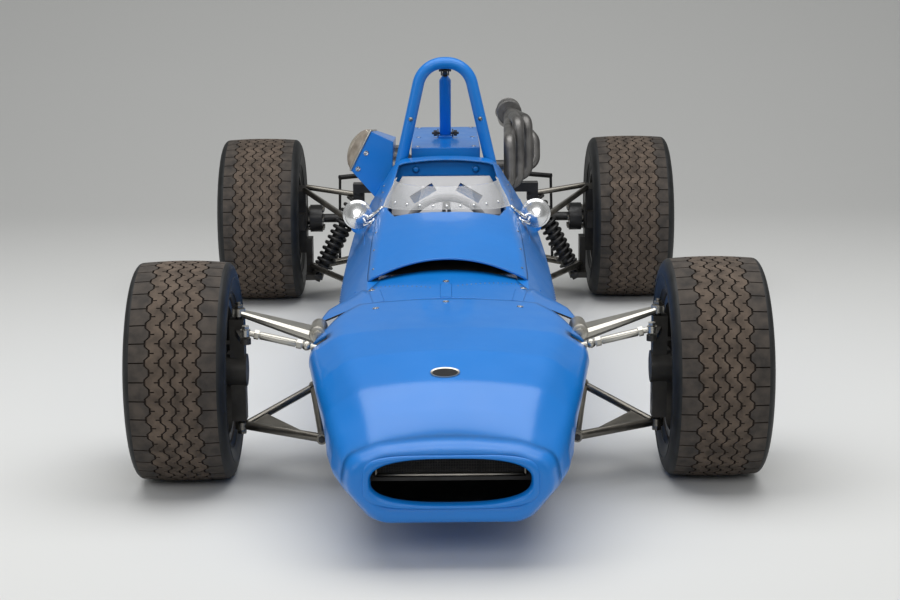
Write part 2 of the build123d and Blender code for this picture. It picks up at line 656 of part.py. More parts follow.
def make_rear_frame(gearbox):
    """The bridge over the bellhousing that takes the dampers and the upper links."""
    bridge = block(-334, 334, 1128, 1186, 398, 430) + both_sides(block(294, 334, 1136, 1180, 366, 400))
    post = block(-80, 80, 1128, 1186, 380, 400)
    lower = block(-160, 160, 1420, 1480, 130, 152)
    brackets = both_sides(block(64, 84, 1366, 1394, 384, 446) - rod((0, 1380, 430), (200, 1380, 430), 9))
    return (bridge + post + lower + brackets) - gearbox


def make_deck():
    """The flat cover over the engine, with a front wall behind the roll hoop."""
    top = block(-112, 112, BOX_BACK + 1, 1130, 630, 634)
    front = block(-112, 112, BOX_BACK + 1, BOX_BACK + 5, 515 + RUN_GAP, 634)
    edges = [block(s * 108, s * 112, BOX_BACK + 1, 1130, 600, 634) for s in (1, -1)]
    return top + front + edges


HOOP_Y = 480
HOOP_R = 19


def make_roll_hoop():
    hoop = bent_tube([(-160, HOOP_Y, 524), (-71.7, HOOP_Y, 911), (71.7, HOOP_Y, 911), (160, HOOP_Y, 524)], 84, HOOP_R)
    feet = [block(s * 160 - 26, s * 160 + 26, HOOP_Y - 24, HOOP_Y + 24, 515.3, 532) for s in (1, -1)]
    hoop = hoop + feet
    for side in (1, -1):
        hoop -= rod((side * 112, HOOP_Y - 25, 732), (side * 112, HOOP_Y - 6, 732), 3.2)
    return hoop


def make_roll_brace(hoop):
    """A flattened stay from the hoop's crown to the deck."""
    start, end = Vector(0, 496, 898), Vector(0, 800, 640)
    along = (end - start).normalized()
    plane = Plane(start, x_dir=(1, 0, 0), z_dir=along)
    stay = extrude(plane * SlotOverall(38, 20), amount=(end - start).length)
    foot = block(-30, 30, 770, 840, 634, 644)
    return (stay + foot - block(-60, 60, 700, 900, 500, 634)) - hoop


# Rear suspension, left side
REAR_TOP = (518, REAR_Y - 40, 404)
REAR_LOW = (512, REAR_Y, 108)


def make_rear_upright():
    post = prism_x([(REAR_Y - 58, 400), (REAR_Y - 24, 418), (REAR_Y + 44, REAR_TYRE_R), (REAR_Y + 34, 170),
                    (REAR_Y - 34, 170), (REAR_Y - 54, REAR_TYRE_R)], 508, 540)
    post += prism_x([(REAR_Y - 40, 220), (REAR_Y + 36, 220), (REAR_Y + 30, 96), (REAR_Y - 30, 96)], 490, 512)
    post += block(452, 512, 1136, REAR_Y + 10, 78, 98)
    hub = disc_x(506, REAR_HUB, 46, REAR_Y, REAR_TYRE_R)
    caliper = block(536, 588, REAR_Y - 138, REAR_Y - 88, REAR_TYRE_R - 45, REAR_TYRE_R + 45)
    caliper = caliper & disc_x(530, 600, 141, REAR_Y, REAR_TYRE_R)
    caliper -= disc_x(554.5, 576.5, 133.5, REAR_Y, REAR_TYRE_R)
    lug = block(512, 540, REAR_Y - 100, REAR_Y, REAR_TYRE_R - 30, REAR_TYRE_R + 30)
    post = post + hub + caliper + lug
    return post - disc_x(400, 700, HUB_BORE_R + 0.05, REAR_Y, REAR_TYRE_R)


def make_rear_upper_links():
    radius_rod = rod((512, REAR_Y - 44, 402), (284, 430, 388), 10)
    lateral = rod((508, REAR_Y - 20, 410), (300, 1158, 385), 10)
    return radius_rod, lateral


def make_rear_lower_links():
    radius_rod = rod((494, REAR_Y - 20, 118), (306, 430, 200), 10)
    front = rod((494, REAR_Y - 10, 110), (150, 1440, 141), 11)
    back = rod((494, REAR_Y + 20, 110), (150, 1460, 141), 11)
    return radius_rod, front, back


COIL_LOW = (468, 1150, 88)
COIL_HIGH = (312, 1150, 396)


def make_coil_over():
    low, high = Vector(*COIL_LOW), Vector(*COIL_HIGH)
    along = (high - low).normalized()
    spring = rod(low + along * 62, high - along * 44, 33)
    body = rod(low, high, 16)
    return spring + body


def make_halfshaft(side):
    shaft = rod((side * 122, REAR_Y, REAR_TYRE_R), (side * REAR_STUB_END, REAR_Y, REAR_TYRE_R), 16)
    doughnut = disc_x(side * 452, side * 496, 50, REAR_Y, REAR_TYRE_R)
    inner = disc_x(side * 122, side * 160, 46, REAR_Y, REAR_TYRE_R)
    stub = disc_x(side * 490, side * REAR_STUB_END, HUB_BORE_R - 0.05, REAR_Y, REAR_TYRE_R)
    return shaft + doughnut + inner + stub


def make_anti_roll_bar():
    bar = bent_tube([(-392, 1316, 430), (-300, 1380, 430), (300, 1380, 430), (392, 1316, 430)], 30, 9)
    drops = [rod((s * 390, 1318, 438), (s * 396, 1310, 124), 5) for s in (1, -1)]
    return bar + drops


MIRROR_PLACE = (263, -118, 513)
MIRROR_ROWS = [
    # ahead of the glass, radius
    (0, 43), (28, 43), (54, 36), (78, 22), (92, 0),
]


def make_mirror():
    """The left mirror: a bullet on two short stalks."""
    x, y, z = MIRROR_PLACE
    profile = [(x, y, z)] + [(x + radius, y - back, z) for back, radius in MIRROR_ROWS]
    wire = Polyline(*profile, close=True)
    shell = revolve(Face(Wire(wire.edges())), axis=Axis(MIRROR_PLACE, (0, 1, 0)))
    stalk = rod((200, y - 52, z - 15), (240, y - 42, z - 7), 5)
    return shell + stalk


def main():
    os.makedirs("parts", exist_ok=True)
    tub = make_tub()
    frame = make_front_frame()
    scuttle = make_scuttle()
    write("tub", tub)
    write("front_frame", frame)
    write("scuttle", scuttle)
    write("nose_cone", make_nose_cone())
    write("front_hatch", make_front_hatch() - frame - tub - scuttle)
    panel = make_shoulder_panel()
    write("shoulder_panel", panel)
    write("vent_panel", make_vent_panel() - tub)
    write("windscreen", make_windscreen() - scuttle)
    write("radiator", make_radiator())
    rocker = make_rocker(frame)
    lower = make_lower_arm(tub, frame)
    knuckle = make_knuckle()
    write("rocker_arm_left", rocker)
    write("rocker_arm_right", mirrored(rocker))
    write("front_lower_arm_left", lower)
    write("front_lower_arm_right", mirrored(lower))
    write("knuckle_left", knuckle)
    write("knuckle_right", mirrored(knuckle))
    write("steering_wheel", make_steering_wheel())
    write("steering_rack", make_steering_rack())
    write("dash_panel", make_dash(tub, scuttle))
    write("seat", make_seat() - panel)
    hoop = make_roll_hoop()
    write("roll_hoop", hoop)
    write("roll_brace", make_roll_brace(hoop))
    write("engine_deck", make_deck())
    write("engine_block", make_engine_block())
    head = make_cylinder_head()
    write("cylinder_head", head)
    box = make_air_box()
    write("air_box", box)
    write("air_gauze", make_air_gauze() - box)
    write("carburettors", make_carburettors() - head - box)
    exhaust = make_exhaust()
    write("exhaust", exhaust)
    gearbox = make_gearbox()
    write("gearbox", gearbox)
    rear_frame = make_rear_frame(gearbox)
    write("rear_frame", rear_frame)
    upright = make_rear_upright()
    write("rear_upright_left", upright)
    write("rear_upright_right", mirrored(upright))
    up = make_rear_upper_links()
    up = (up[0] + up[1]) - upright - tub - rear_frame
    write("rear_upper_links_left", up)
    write("rear_upper_links_right", mirrored(up))
    low = make_rear_lower_links()
    low = (low[0] + low[1] + low[2]) - upright - tub - rear_frame
    write("rear_lower_links_left", low)
    write("rear_lower_links_right", mirrored(low))
    coil = make_coil_over() - rear_frame - low - upright
    write("rear_coil_over_left", coil)
    write("rear_coil_over_right", mirrored(coil))
    write("anti_roll_bar", make_anti_roll_bar() - low - mirrored(low) - rear_frame)
    mirror_left = make_mirror() - scuttle - tub
    write("mirror_left", mirror_left)
    write("mirror_right", mirrored(mirror_left))
    for name, side in (("left", 1), ("right", -1)):
        write(f"front_tyre_{name}", make_tyre(side * FRONT_TRACK / 2, FRONT_Y, FRONT_TYRE_R, FRONT_TYRE_W, FRONT_RIM_W))
        write(f"rear_tyre_{name}", make_tyre(side * REAR_TRACK / 2, REAR_Y, REAR_TYRE_R, REAR_TYRE_W, REAR_RIM_W))
        write(f"front_rim_{name}", make_rim(side, side * FRONT_TRACK / 2, FRONT_Y, FRONT_TYRE_R, FRONT_RIM_W, FRONT_DISC_X + BELL))
        write(f"rear_rim_{name}", make_rim(side, side * REAR_TRACK / 2, REAR_Y, REAR_TYRE_R, REAR_RIM_W, REAR_DISC_X + BELL))
        write(f"front_disc_{name}", make_disc(side, FRONT_DISC_X, FRONT_Y, FRONT_TYRE_R))
        write(f"rear_disc_{name}", make_disc(side, REAR_DISC_X, REAR_Y, REAR_TYRE_R))
        write(f"halfshaft_{name}", make_halfshaft(side))


main()
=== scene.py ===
import math

import bmesh
import bpy
from mathutils import Matrix, Vector


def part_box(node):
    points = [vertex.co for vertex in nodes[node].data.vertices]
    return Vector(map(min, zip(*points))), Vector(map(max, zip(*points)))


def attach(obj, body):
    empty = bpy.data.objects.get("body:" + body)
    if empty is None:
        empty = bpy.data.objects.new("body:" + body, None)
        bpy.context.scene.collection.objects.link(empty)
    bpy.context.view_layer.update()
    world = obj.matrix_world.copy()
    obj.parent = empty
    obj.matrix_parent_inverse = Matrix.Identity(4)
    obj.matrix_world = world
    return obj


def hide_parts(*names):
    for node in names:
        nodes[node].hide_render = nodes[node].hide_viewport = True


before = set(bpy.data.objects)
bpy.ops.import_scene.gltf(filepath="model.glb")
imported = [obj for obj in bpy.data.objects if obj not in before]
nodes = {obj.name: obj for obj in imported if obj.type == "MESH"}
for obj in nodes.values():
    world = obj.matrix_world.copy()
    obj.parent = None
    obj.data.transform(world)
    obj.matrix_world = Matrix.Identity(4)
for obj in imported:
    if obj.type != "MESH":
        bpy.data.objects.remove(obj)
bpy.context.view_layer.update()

# Camera: a long lens on a tripod in front of the nose, a little above the hoop,
# looking down at the car. The image is 900 x 600.
CAMERA_PLACE = (-0.0138, -5.6501, 1.3656)
CAMERA_PITCH = 0.1986    # radians, down
CAMERA_YAW = 0.0039
CAMERA_ROLL = -0.0081
FOCAL_LENGTH = 75.75     # millimetres, as is the sensor
SENSOR_WIDTH = 36.0

lens = bpy.data.cameras.new("camera")
lens.lens = FOCAL_LENGTH
lens.sensor_width = SENSOR_WIDTH
lens.sensor_fit = "HORIZONTAL"
camera = bpy.data.objects.new("camera", lens)
camera.matrix_world = (
    Matrix.Translation(CAMERA_PLACE)
    @ Matrix.Rotation(-CAMERA_YAW, 4, "Z")
    @ Matrix.Rotation(math.pi / 2 - CAMERA_PITCH, 4, "X")
    @ Matrix.Rotation(CAMERA_ROLL, 4, "Z")
)
bpy.context.scene.collection.objects.link(camera)
bpy.context.scene.camera = camera


# Studio: a pale sheet of paper that lies under the car and sweeps up behind it into a wall, open
# to a look from behind, lit by a wide soft box overhead and weaker ones around. The paper is
# painted a darker grey up the wall: painted shade.
FLOOR_HALF = 18.0
SWEEP_START = 3.2
SWEEP_RADIUS = 3.4
WALL_HEIGHT = 6.0
FLOOR_GREY = (0.67, 0.675, 0.665)
# the paper up the wall is painted this darker grey as painted shade
WALL_SHADE_GREY = (0.53, 0.535, 0.52)
FADE_START, FADE_END = 0.5, 4.0      # heights over which the floor's grey turns into the wall's painted shade
SOFT_BOXES = {
    # place, what it faces, width, height, watts
    "soft_top": ((0, -0.6, 4.2), (0, -0.3, 0), 5.6, 4.2, 200),
    "soft_left": ((-4.2, -2.8, 2.4), (0, -0.6, 0.3), 2.2, 3.0, 30),
    "soft_right": ((4.2, -2.8, 2.4), (0, -0.6, 0.3), 2.2, 3.0, 15),
    "soft_front": ((0, -7.2, 4.0), (0, -0.8, 0.4), 5.5, 2.4, 105),
}
AIR_COLOUR = (0.80, 0.80, 0.79)
AIR_STRENGTH = 0.33


def start_from(add_primitive, **sizes):
    """Add a primitive with nothing else selected, its place and size in its mesh."""
    bpy.ops.object.select_all(action="DESELECT")
    add_primitive(**sizes)
    bpy.ops.object.transform_apply(location=True, rotation=True, scale=True)
    return bpy.context.active_object


def start_edit(piece, mode="FACE"):
    """Edit this piece alone, with nothing in it selected."""
    bpy.ops.object.select_all(action="DESELECT")
    piece.select_set(True)
    bpy.context.view_layer.objects.active = piece
    bpy.ops.object.mode_set(mode="EDIT")
    bpy.ops.mesh.select_mode(type=mode)
    bpy.ops.mesh.select_all(action="DESELECT")


def end_edit():
    bpy.ops.object.mode_set(mode="OBJECT")


def pick(piece, kind, test):
    """Select the vertices, edges or faces that pass a test, from edit mode."""
    mesh = bmesh.from_edit_mesh(piece.data)
    for item in getattr(mesh, kind):
        item.select_set(bool(test(item)))
    mesh.select_flush_mode()
    bmesh.update_edit_mesh(piece.data)


def new_finish(name):
    material = bpy.data.materials.new(name)
    material.use_nodes = True
    return material, material.node_tree, material.node_tree.nodes["Principled BSDF"]


def dress(piece, material):
    piece.data.materials.clear()
    piece.data.materials.append(material)


floor = start_from(bpy.ops.mesh.primitive_plane_add, size=2 * FLOOR_HALF)
floor.name = "studio_paper"
start_edit(floor, "EDGE")
pick(floor, "edges", lambda e: all(v.co.y > 0 for v in e.verts))
bpy.ops.transform.translate(value=(0, SWEEP_START - FLOOR_HALF, 0))
bpy.ops.mesh.spin(
    steps=32, angle=-math.pi / 2, center=(0, SWEEP_START, SWEEP_RADIUS), axis=(1, 0, 0)
)
bpy.ops.mesh.extrude_region_move(TRANSFORM_OT_translate={"value": (0, 0, WALL_HEIGHT)})
end_edit()
bpy.ops.object.shade_smooth()
paper, tree, shader = new_finish("studio_paper")
shader.inputs["Roughness"].default_value = 0.9
place = tree.nodes.new("ShaderNodeTexCoord")
split = tree.nodes.new("ShaderNodeSeparateXYZ")
fade = tree.nodes.new("ShaderNodeMapRange")
fade.inputs["From Min"].default_value = FADE_START
fade.inputs["From Max"].default_value = FADE_END
shade = tree.nodes.new("ShaderNodeValToRGB")
shade.color_ramp.elements[0].color = (*FLOOR_GREY, 1)
shade.color_ramp.elements[1].color = (*WALL_SHADE_GREY, 1)
facing = tree.nodes.new("ShaderNodeNewGeometry")
clear = tree.nodes.new("ShaderNodeBsdfTransparent")
one_sided = tree.nodes.new("ShaderNodeMixShader")
tree.links.new(place.outputs["Object"], split.inputs[0])
tree.links.new(split.outputs["Z"], fade.inputs["Value"])
tree.links.new(fade.outputs["Result"], shade.inputs["Fac"])
tree.links.new(shade.outputs["Color"], shader.inputs["Base Color"])
tree.links.new(facing.outputs["Backfacing"], one_sided.inputs[0])
tree.links.new(shader.outputs["BSDF"], one_sided.inputs[1])
tree.links.new(clear.outputs["BSDF"], one_sided.inputs[2])
tree.links.new(one_sided.outputs["Shader"], tree.nodes["Material Output"].inputs["Surface"])
dress(floor, paper)

for name, (place, target, width, height, power) in SOFT_BOXES.items():
    box = bpy.data.lights.new(name, "AREA")
    box.shape = "RECTANGLE"
    box.size = width
    box.size_y = height
    box.energy = power
    lamp = bpy.data.objects.new(name, box)
    lamp.location = place
    lamp.rotation_euler = (Vector(target) - Vector(place)).to_track_quat("-Z", "Y").to_euler()
    bpy.context.scene.collection.objects.link(lamp)

world = bpy.data.worlds.new("studio_air")
world.use_nodes = True
air = world.node_tree.nodes["Background"]
air.inputs["Color"].default_value = (*AIR_COLOUR, 1)
air.inputs["Strength"].default_value = AIR_STRENGTH
bpy.context.scene.world = world
bpy.context.scene.view_settings.view_transform = "Standard"


# Bodywork: moulded panels and the riveted tub, sprayed in one solid mid blue and lacquered.
# Inside, the panels are painted matt black as painted shade, and the paint drifts a little in tone
# and in gloss.
PAINT_LOW = (0.0020, 0.165, 0.56)
PAINT_HIGH = (0.0030, 0.192, 0.64)
PAINT_DRIFT = (2.2, 3.0)         # scale and detail of the drift in tone
# painted shade on the insides of the panels
PAINTED_INSIDE_SHADE = (0.008, 0.008, 0.009)
PANELS = {
    # height of its long axis, width of the creases that the lacquer runs over
    "nose_cone": (0.20, 0.022),
    "scuttle": (0.34, 0.010),
    "front_hatch": (0.30, 0.010),
    "shoulder_panel": (0.34, 0.010),
}
SHEET_CREASE = 0.005             # the same width on folded sheet and tube
LIP_BACK = -1.782                # ahead of this the nose's lip keeps its blue inside, without the painted shade


def noise_on(tree, scale, detail):
    """A cloudy pattern that is fixed to the piece."""
    place = tree.nodes.new("ShaderNodeTexCoord")
    noise = tree.nodes.new("ShaderNodeTexNoise")
    noise.inputs["Scale"].default_value = scale
    noise.inputs["Detail"].default_value = detail
    tree.links.new(place.outputs["Object"], noise.inputs["Vector"])
    return noise.outputs["Fac"]


def mottle(tree, shader, low, high, scale, detail=6.0):
    """Drift the base colour between two tones over the piece."""
    blend = tree.nodes.new("ShaderNodeValToRGB")
    blend.color_ramp.elements[0].position = 0.3
    blend.color_ramp.elements[0].color = (*low, 1)
    blend.color_ramp.elements[1].position = 0.7
    blend.color_ramp.elements[1].color = (*high, 1)
    tree.links.new(noise_on(tree, scale, detail), blend.inputs["Fac"])
    tree.links.new(blend.outputs["Color"], shader.inputs["Base Color"])
    return blend.outputs["Color"]


def roughen(tree, shader, low, high, scale):
    """Vary the gloss in patches, as handling and dust do."""
    spread = tree.nodes.new("ShaderNodeMapRange")
    spread.inputs["From Min"].default_value = 0.35
    spread.inputs["From Max"].default_value = 0.65
    spread.inputs["To Min"].default_value = low
    spread.inputs["To Max"].default_value = high
    tree.links.new(noise_on(tree, scale, 5.0), spread.inputs["Value"])
    tree.links.new(spread.outputs["Result"], shader.inputs["Roughness"])


def emboss(tree, shader, scale, depth, strength):
    """A fine uneven surface, depth in metres."""
    bump = tree.nodes.new("ShaderNodeBump")
    bump.inputs["Strength"].default_value = strength
    bump.inputs["Distance"].default_value = depth
    tree.links.new(noise_on(tree, scale, 3.0), bump.inputs["Height"])
    tree.links.new(bump.outputs["Normal"], shader.inputs["Normal"])


def calculate(tree, operation, *values):
    """A math node on these sockets or numbers."""
    node = tree.nodes.new("ShaderNodeMath")
    node.operation = operation
    for socket, value in zip(node.inputs, values):
        if isinstance(value, (int, float)):
            socket.default_value = value
        else:
            tree.links.new(value, socket)
    return node.outputs[0]


def lacquer(tree, shader, crease):
    """A glossy coat, its shading run together over creases up to this width."""
    roughen(tree, shader, low=0.34, high=0.42, scale=14.0)
    shader.inputs["Specular IOR Level"].default_value = 0.36
    shader.inputs["Coat Weight"].default_value = 0.38
    shader.inputs["Coat Roughness"].default_value = 0.10
    soften = tree.nodes.new("ShaderNodeBevel")
    soften.samples = 6
    soften.inputs["Radius"].default_value = crease
    tree.links.new(soften.outputs["Normal"], shader.inputs["Normal"])
    tree.links.new(soften.outputs["Normal"], shader.inputs["Coat Normal"])


def vector_step(tree, operation, source, value=None):
    """A vector node on this socket and these three numbers."""
    node = tree.nodes.new("ShaderNodeVectorMath")
    node.operation = operation
    if value is not None:
        node.inputs[1].default_value = value
    tree.links.new(source, node.inputs[0])
    return node


def paint_inside_shade(tree, shader, colour, middle_z):
    """Paint the faces black that look at the panel's long axis, behind the nose's lip: painted
    shade inside the panel.
    """
    place = tree.nodes.new("ShaderNodeTexCoord")
    from_axis = vector_step(tree, "SUBTRACT", place.outputs["Object"], (0, 0, middle_z))
    outward = vector_step(tree, "MULTIPLY", from_axis.outputs["Vector"], (1, 0, 1))
    facing = vector_step(tree, "DOT_PRODUCT", outward.outputs["Vector"])
    tree.links.new(place.outputs["Normal"], facing.inputs[1])
    split = tree.nodes.new("ShaderNodeSeparateXYZ")
    tree.links.new(place.outputs["Object"], split.inputs[0])
    inward = calculate(tree, "LESS_THAN", facing.outputs["Value"], -0.002)
    behind = calculate(tree, "GREATER_THAN", split.outputs["Y"], LIP_BACK)
    mix = tree.nodes.new("ShaderNodeMix")
    mix.data_type = "RGBA"
    mix.inputs[7].default_value = (*PAINTED_INSIDE_SHADE, 1)
    tree.links.new(calculate(tree, "MULTIPLY", inward, behind), mix.inputs[0])
    tree.links.new(colour, mix.inputs[6])
    tree.links.new(mix.outputs[2], shader.inputs["Base Color"])


for name, (middle_z, crease) in PANELS.items():
    panel_paint, tree, shader = new_finish(f"{name}_paint")
    colour = mottle(tree, shader, PAINT_LOW, PAINT_HIGH, *PAINT_DRIFT)
    lacquer(tree, shader, crease)
    paint_inside_shade(tree, shader, colour, middle_z)
    dress(nodes[name], panel_paint)
blue_paint, tree, shader = new_finish("blue_paint")
mottle(tree, shader, PAINT_LOW, PAINT_HIGH, *PAINT_DRIFT)
lacquer(tree, shader, SHEET_CREASE)
for name in ("engine_deck", "tub", "air_box", "roll_hoop"):
    dress(nodes[name], blue_paint)


# Bare metal: nickel-plated arms and rods, chromed fittings, sheet aluminium, alloy castings,
# blackened steel and the ground faces of the discs, with light handling marks.
def metal(name, low, high, rough_low, rough_high, grain, metallic=1.0):
    """Plated, ground or rolled metal, between two tones and two roughnesses."""
    finish, tree, shader = new_finish(name)
    shader.inputs["Metallic"].default_value = metallic
    mottle(tree, shader, low, high, grain, 3.0)
    roughen(tree, shader, rough_low, rough_high, grain * 2)
    return finish


def coarse_metal(name, low, high, grain, gloss, relief, metallic=0.0):
    """Cast or scaled metal, its gloss and relief as roughen and emboss take them."""
    finish, tree, shader = new_finish(name)
    shader.inputs["Metallic"].default_value = metallic
    mottle(tree, shader, low, high, grain)
    roughen(tree, shader, *gloss)
    emboss(tree, shader, *relief)
    return finish


nickel = metal("nickel_plate", (0.46, 0.445, 0.40), (0.57, 0.55, 0.50), 0.30, 0.40, 9)
# A darker copy of the nickel plate: on the lower arms and links its darkness is painted shade.
darker_nickel = metal("darker_nickel", (0.19, 0.178, 0.155), (0.29, 0.272, 0.24), 0.28, 0.42, 14)
chrome = metal("chrome_plate", (0.78, 0.79, 0.80), (0.86, 0.87, 0.88), 0.05, 0.12, 20)
sheet_alloy = metal(
    "sheet_aluminium", (0.40, 0.40, 0.41), (0.50, 0.50, 0.51), 0.38, 0.52, 8, metallic=0.75
)
cast_alloy = metal(
    "cast_alloy", (0.22, 0.22, 0.21), (0.36, 0.35, 0.33), 0.45, 0.62, 25, metallic=0.8
)
spun_alloy = metal(
    "spun_aluminium", (0.76, 0.77, 0.78), (0.85, 0.86, 0.87), 0.20, 0.28, 24, metallic=0.85
)
mesh_wire = metal(
    "mesh_wire", (0.07, 0.068, 0.064), (0.13, 0.125, 0.118), 0.40, 0.55, 40, metallic=0.6
)
disc_iron = metal("disc_iron", (0.22, 0.21, 0.20), (0.36, 0.34, 0.32), 0.28, 0.42, 60)
black_steel = coarse_metal(
    "black_steel", (0.010, 0.010, 0.011), (0.028, 0.027, 0.026), 30,
    gloss=(0.30, 0.50, 60), relief=(500, 0.0001, 0.3),
)
magnesium = coarse_metal(
    "dark_magnesium", (0.030, 0.029, 0.027), (0.060, 0.056, 0.050), 22,
    gloss=(0.40, 0.58, 40), relief=(260, 0.0002, 0.4), metallic=0.5,
)
for side in ("left", "right"):
    dress(nodes[f"rocker_arm_{side}"], nickel)
    for name in ("front_lower_arm", "rear_upper_links", "rear_lower_links"):
        dress(nodes[f"{name}_{side}"], darker_nickel)
    for name in ("knuckle", "rear_upright", "front_rim", "rear_rim"):
        dress(nodes[f"{name}_{side}"], magnesium)
    for end in ("front", "rear"):
        dress(nodes[f"{end}_disc_{side}"], disc_iron)
    dress(nodes[f"halfshaft_{side}"], black_steel)
dress(nodes["steering_rack"], nickel)
dress(nodes["front_frame"], sheet_alloy)
# The vent panel's black is painted shade in the slot under the scuttle's lip.
for name in ("vent_panel", "radiator", "anti_roll_bar", "rear_frame", "dash_panel"):
    dress(nodes[name], black_steel)
for name in ("engine_block", "cylinder_head", "carburettors", "gearbox"):
    dress(nodes[name], cast_alloy)


# Nose fittings: slotted quarter-turn fasteners that hold the nose and the front hatch, a bare
# oval badge plate, a rolled lip in the mouth, and a wire guard before the radiator core.
FASTENER_RADIUS = 0.0085
FASTENER_HEIGHT = 0.0022
FASTENER_RIM = 0.0012
FASTENER_DISH = 0.0006
FASTENERS = [
    # panel, x, y
    ("nose_cone", -0.006, -0.989), ("front_hatch", -0.005, -0.806),
    ("front_hatch", -0.198, -0.808), ("nose_cone", -0.181, -1.020),
    ("front_hatch", 0.196, -0.804), ("nose_cone", 0.179, -1.016),
]
FASTENER_TURN = 0.4              # each one is turned this much more than the last
BADGE_PLACE = (-0.010, -1.533)
BADGE_HALF_WIDTH = 0.033
BADGE_HALF_LENGTH = 0.024
BADGE_RIM = 0.004
BADGE_THICKNESS = 0.003
BADGE_SINK = 0.0012
BADGE_SIDES = 48
MOUTH_TIP = -1.800               # y of the nose's tip
MOUTH_HEIGHT = 0.1975
MOUTH_POINTS = 120
MOUTH_RINGS = [
    # behind the tip, half width, half height, squareness
    (0.0120, 0.1895, 0.0605, 4.2), (0.0000, 0.1880, 0.0595, 4.0), (-0.0030, 0.1850, 0.0575, 3.6),
    (-0.0042, 0.1810, 0.0552, 3.2), (-0.0032, 0.1775, 0.0532, 3.0), (0.0000, 0.1745, 0.0515, 2.8),
    (0.0060, 0.1725, 0.0503, 2.6), (0.0200, 0.1715, 0.0497, 2.6),
]
CORE_PLACE = (0, -1.678, 0.216)
CORE_TILT = math.radians(-14)
GUARD_STANDOFF = 0.0175          # ahead of the core's middle
GUARD_WIDTH, GUARD_HEIGHT = 0.326, 0.072
GUARD_PITCH = 0.0056
GUARD_WIRE = 0.0016
GUARD_RAIL = 0.0042


def find_point(node, start, direction):
    """Where a straight line first meets a node, and the way its surface faces there."""
    hit, place, normal, _ = nodes[node].ray_cast(Vector(start), Vector(direction))
    if not hit:
        raise ValueError(f"{node} is missed from {start}")
    return place, normal


def find_surface(node, x, y):
    return find_point(node, (x, y, 3.0), (0, 0, -1))


def find_side(node, side, y, z):
    return find_point(node, (side * 2.0, y, z), (-side, 0, 0))


def stand(place, direction, turn=0.0):
    """Where a part modelled at the origin, standing on Z, belongs."""
    upright = Vector(direction).to_track_quat("Z", "Y").to_matrix().to_4x4()
    return Matrix.Translation(Vector(place)) @ upright @ Matrix.Rotation(turn, 4, "Z")


def settle(piece, place, direction):
    piece.data.transform(stand(place, direction))
    return piece


def join(pieces, name):
    bpy.ops.object.select_all(action="DESELECT")
    for piece in pieces:
        piece.select_set(True)
    bpy.context.view_layer.objects.active = pieces[0]
    if len(pieces) > 1:
        bpy.ops.object.join()
    pieces[0].name = name
    return pieces[0]


def copy_of(master, name):
    """The same shape again, with a mesh of its own."""
    copy = bpy.data.objects.new(name, master.data.copy())
    bpy.context.scene.collection.objects.link(copy)
    return copy


def repeat(master, placings, name):
    """One small part at each of these places, as one piece."""
    copies = []
    for placing in placings:
        copies.append(copy_of(master, name))
        copies[-1].data.transform(placing)
    bpy.data.objects.remove(master)
    return join(copies, name)


def drum(radius, height, sides=24, bevel=0.0, low=0.0):
    """A short round or many-sided part standing on Z, its edges rounded."""
    part = start_from(
        bpy.ops.mesh.primitive_cylinder_add,
        radius=radius, depth=height, vertices=sides, location=(0, 0, low + height / 2),
    )
    if bevel:
        start_edit(part, "EDGE")
        pick(part, "edges", lambda e: abs(e.verts[0].co.z - e.verts[1].co.z) < 1e-6)
        bpy.ops.mesh.bevel(offset=bevel, segments=2, affect="EDGES")
        end_edit()
    bpy.ops.object.shade_smooth_by_angle(angle=math.radians(35))
    return part


def grid(columns, rows, size):
    """A flat square sheet round the origin, in this many columns and rows."""
    return start_from(
        bpy.ops.mesh.primitive_grid_add, x_subdivisions=columns, y_subdivisions=rows, size=size
    )


def close_up(piece, smooth):
    """Fill the open ends, turn every face outwards and smooth up to this angle."""
    start_edit(piece, "EDGE")
    bpy.ops.mesh.select_all(action="SELECT")
    bpy.ops.mesh.fill_holes(sides=0)
    bpy.ops.mesh.select_all(action="SELECT")
    bpy.ops.mesh.normals_make_consistent(inside=False)
    end_edit()
    bpy.ops.object.shade_smooth_by_angle(angle=math.radians(smooth))


def turned(profile, sides=40, smooth=40):
    """A turned part on Z: a ring drawn along a profile of radius and height, and closed."""
    radius, height = profile[0]
    part = start_from(
        bpy.ops.mesh.primitive_circle_add, vertices=sides, radius=radius, location=(0, 0, height)
    )
    start_edit(part, "EDGE")
    bpy.ops.mesh.select_all(action="SELECT")
    for new_radius, new_height in profile[1:]:
        bpy.ops.mesh.extrude_region_move()
        share = new_radius / radius
        bpy.ops.transform.resize(value=(share, share, 1), center_override=(0, 0, height))
        bpy.ops.transform.translate(value=(0, 0, new_height - height))
        radius, height = new_radius, new_height
    end_edit()
    close_up(part, smooth)
    return part


def bar(start, end, radius, sides=20, bevel=0.001):
    """A straight round or hexagonal bar between two points."""
    start, end = Vector(start), Vector(end)
    return settle(drum(radius, (end - start).length, sides, bevel), start, end - start)


def rails(corners, radius, sides, name):
    """Thin bars round an opening, from corner to corner."""
    pairs = zip(corners, corners[1:] + corners[:1])
    return join([bar(a, b, radius, sides, bevel=0.0005) for a, b in pairs], name)


def weave(sheet, thickness):
    """Turn the edges of a grid into wires."""
    wire = sheet.modifiers.new("wire", "WIREFRAME")
    wire.thickness = thickness
    bpy.ops.object.modifier_apply(modifier="wire")


def dish(piece, rim, depth, above=0.0):
    """Sink the top face inside a rim."""
    start_edit(piece)
    pick(piece, "faces", lambda f: f.normal.z > 0.9 and f.calc_center_median().z > above)
    bpy.ops.mesh.inset(thickness=rim)
    bpy.ops.transform.translate(value=(0, 0, -depth))
    end_edit()


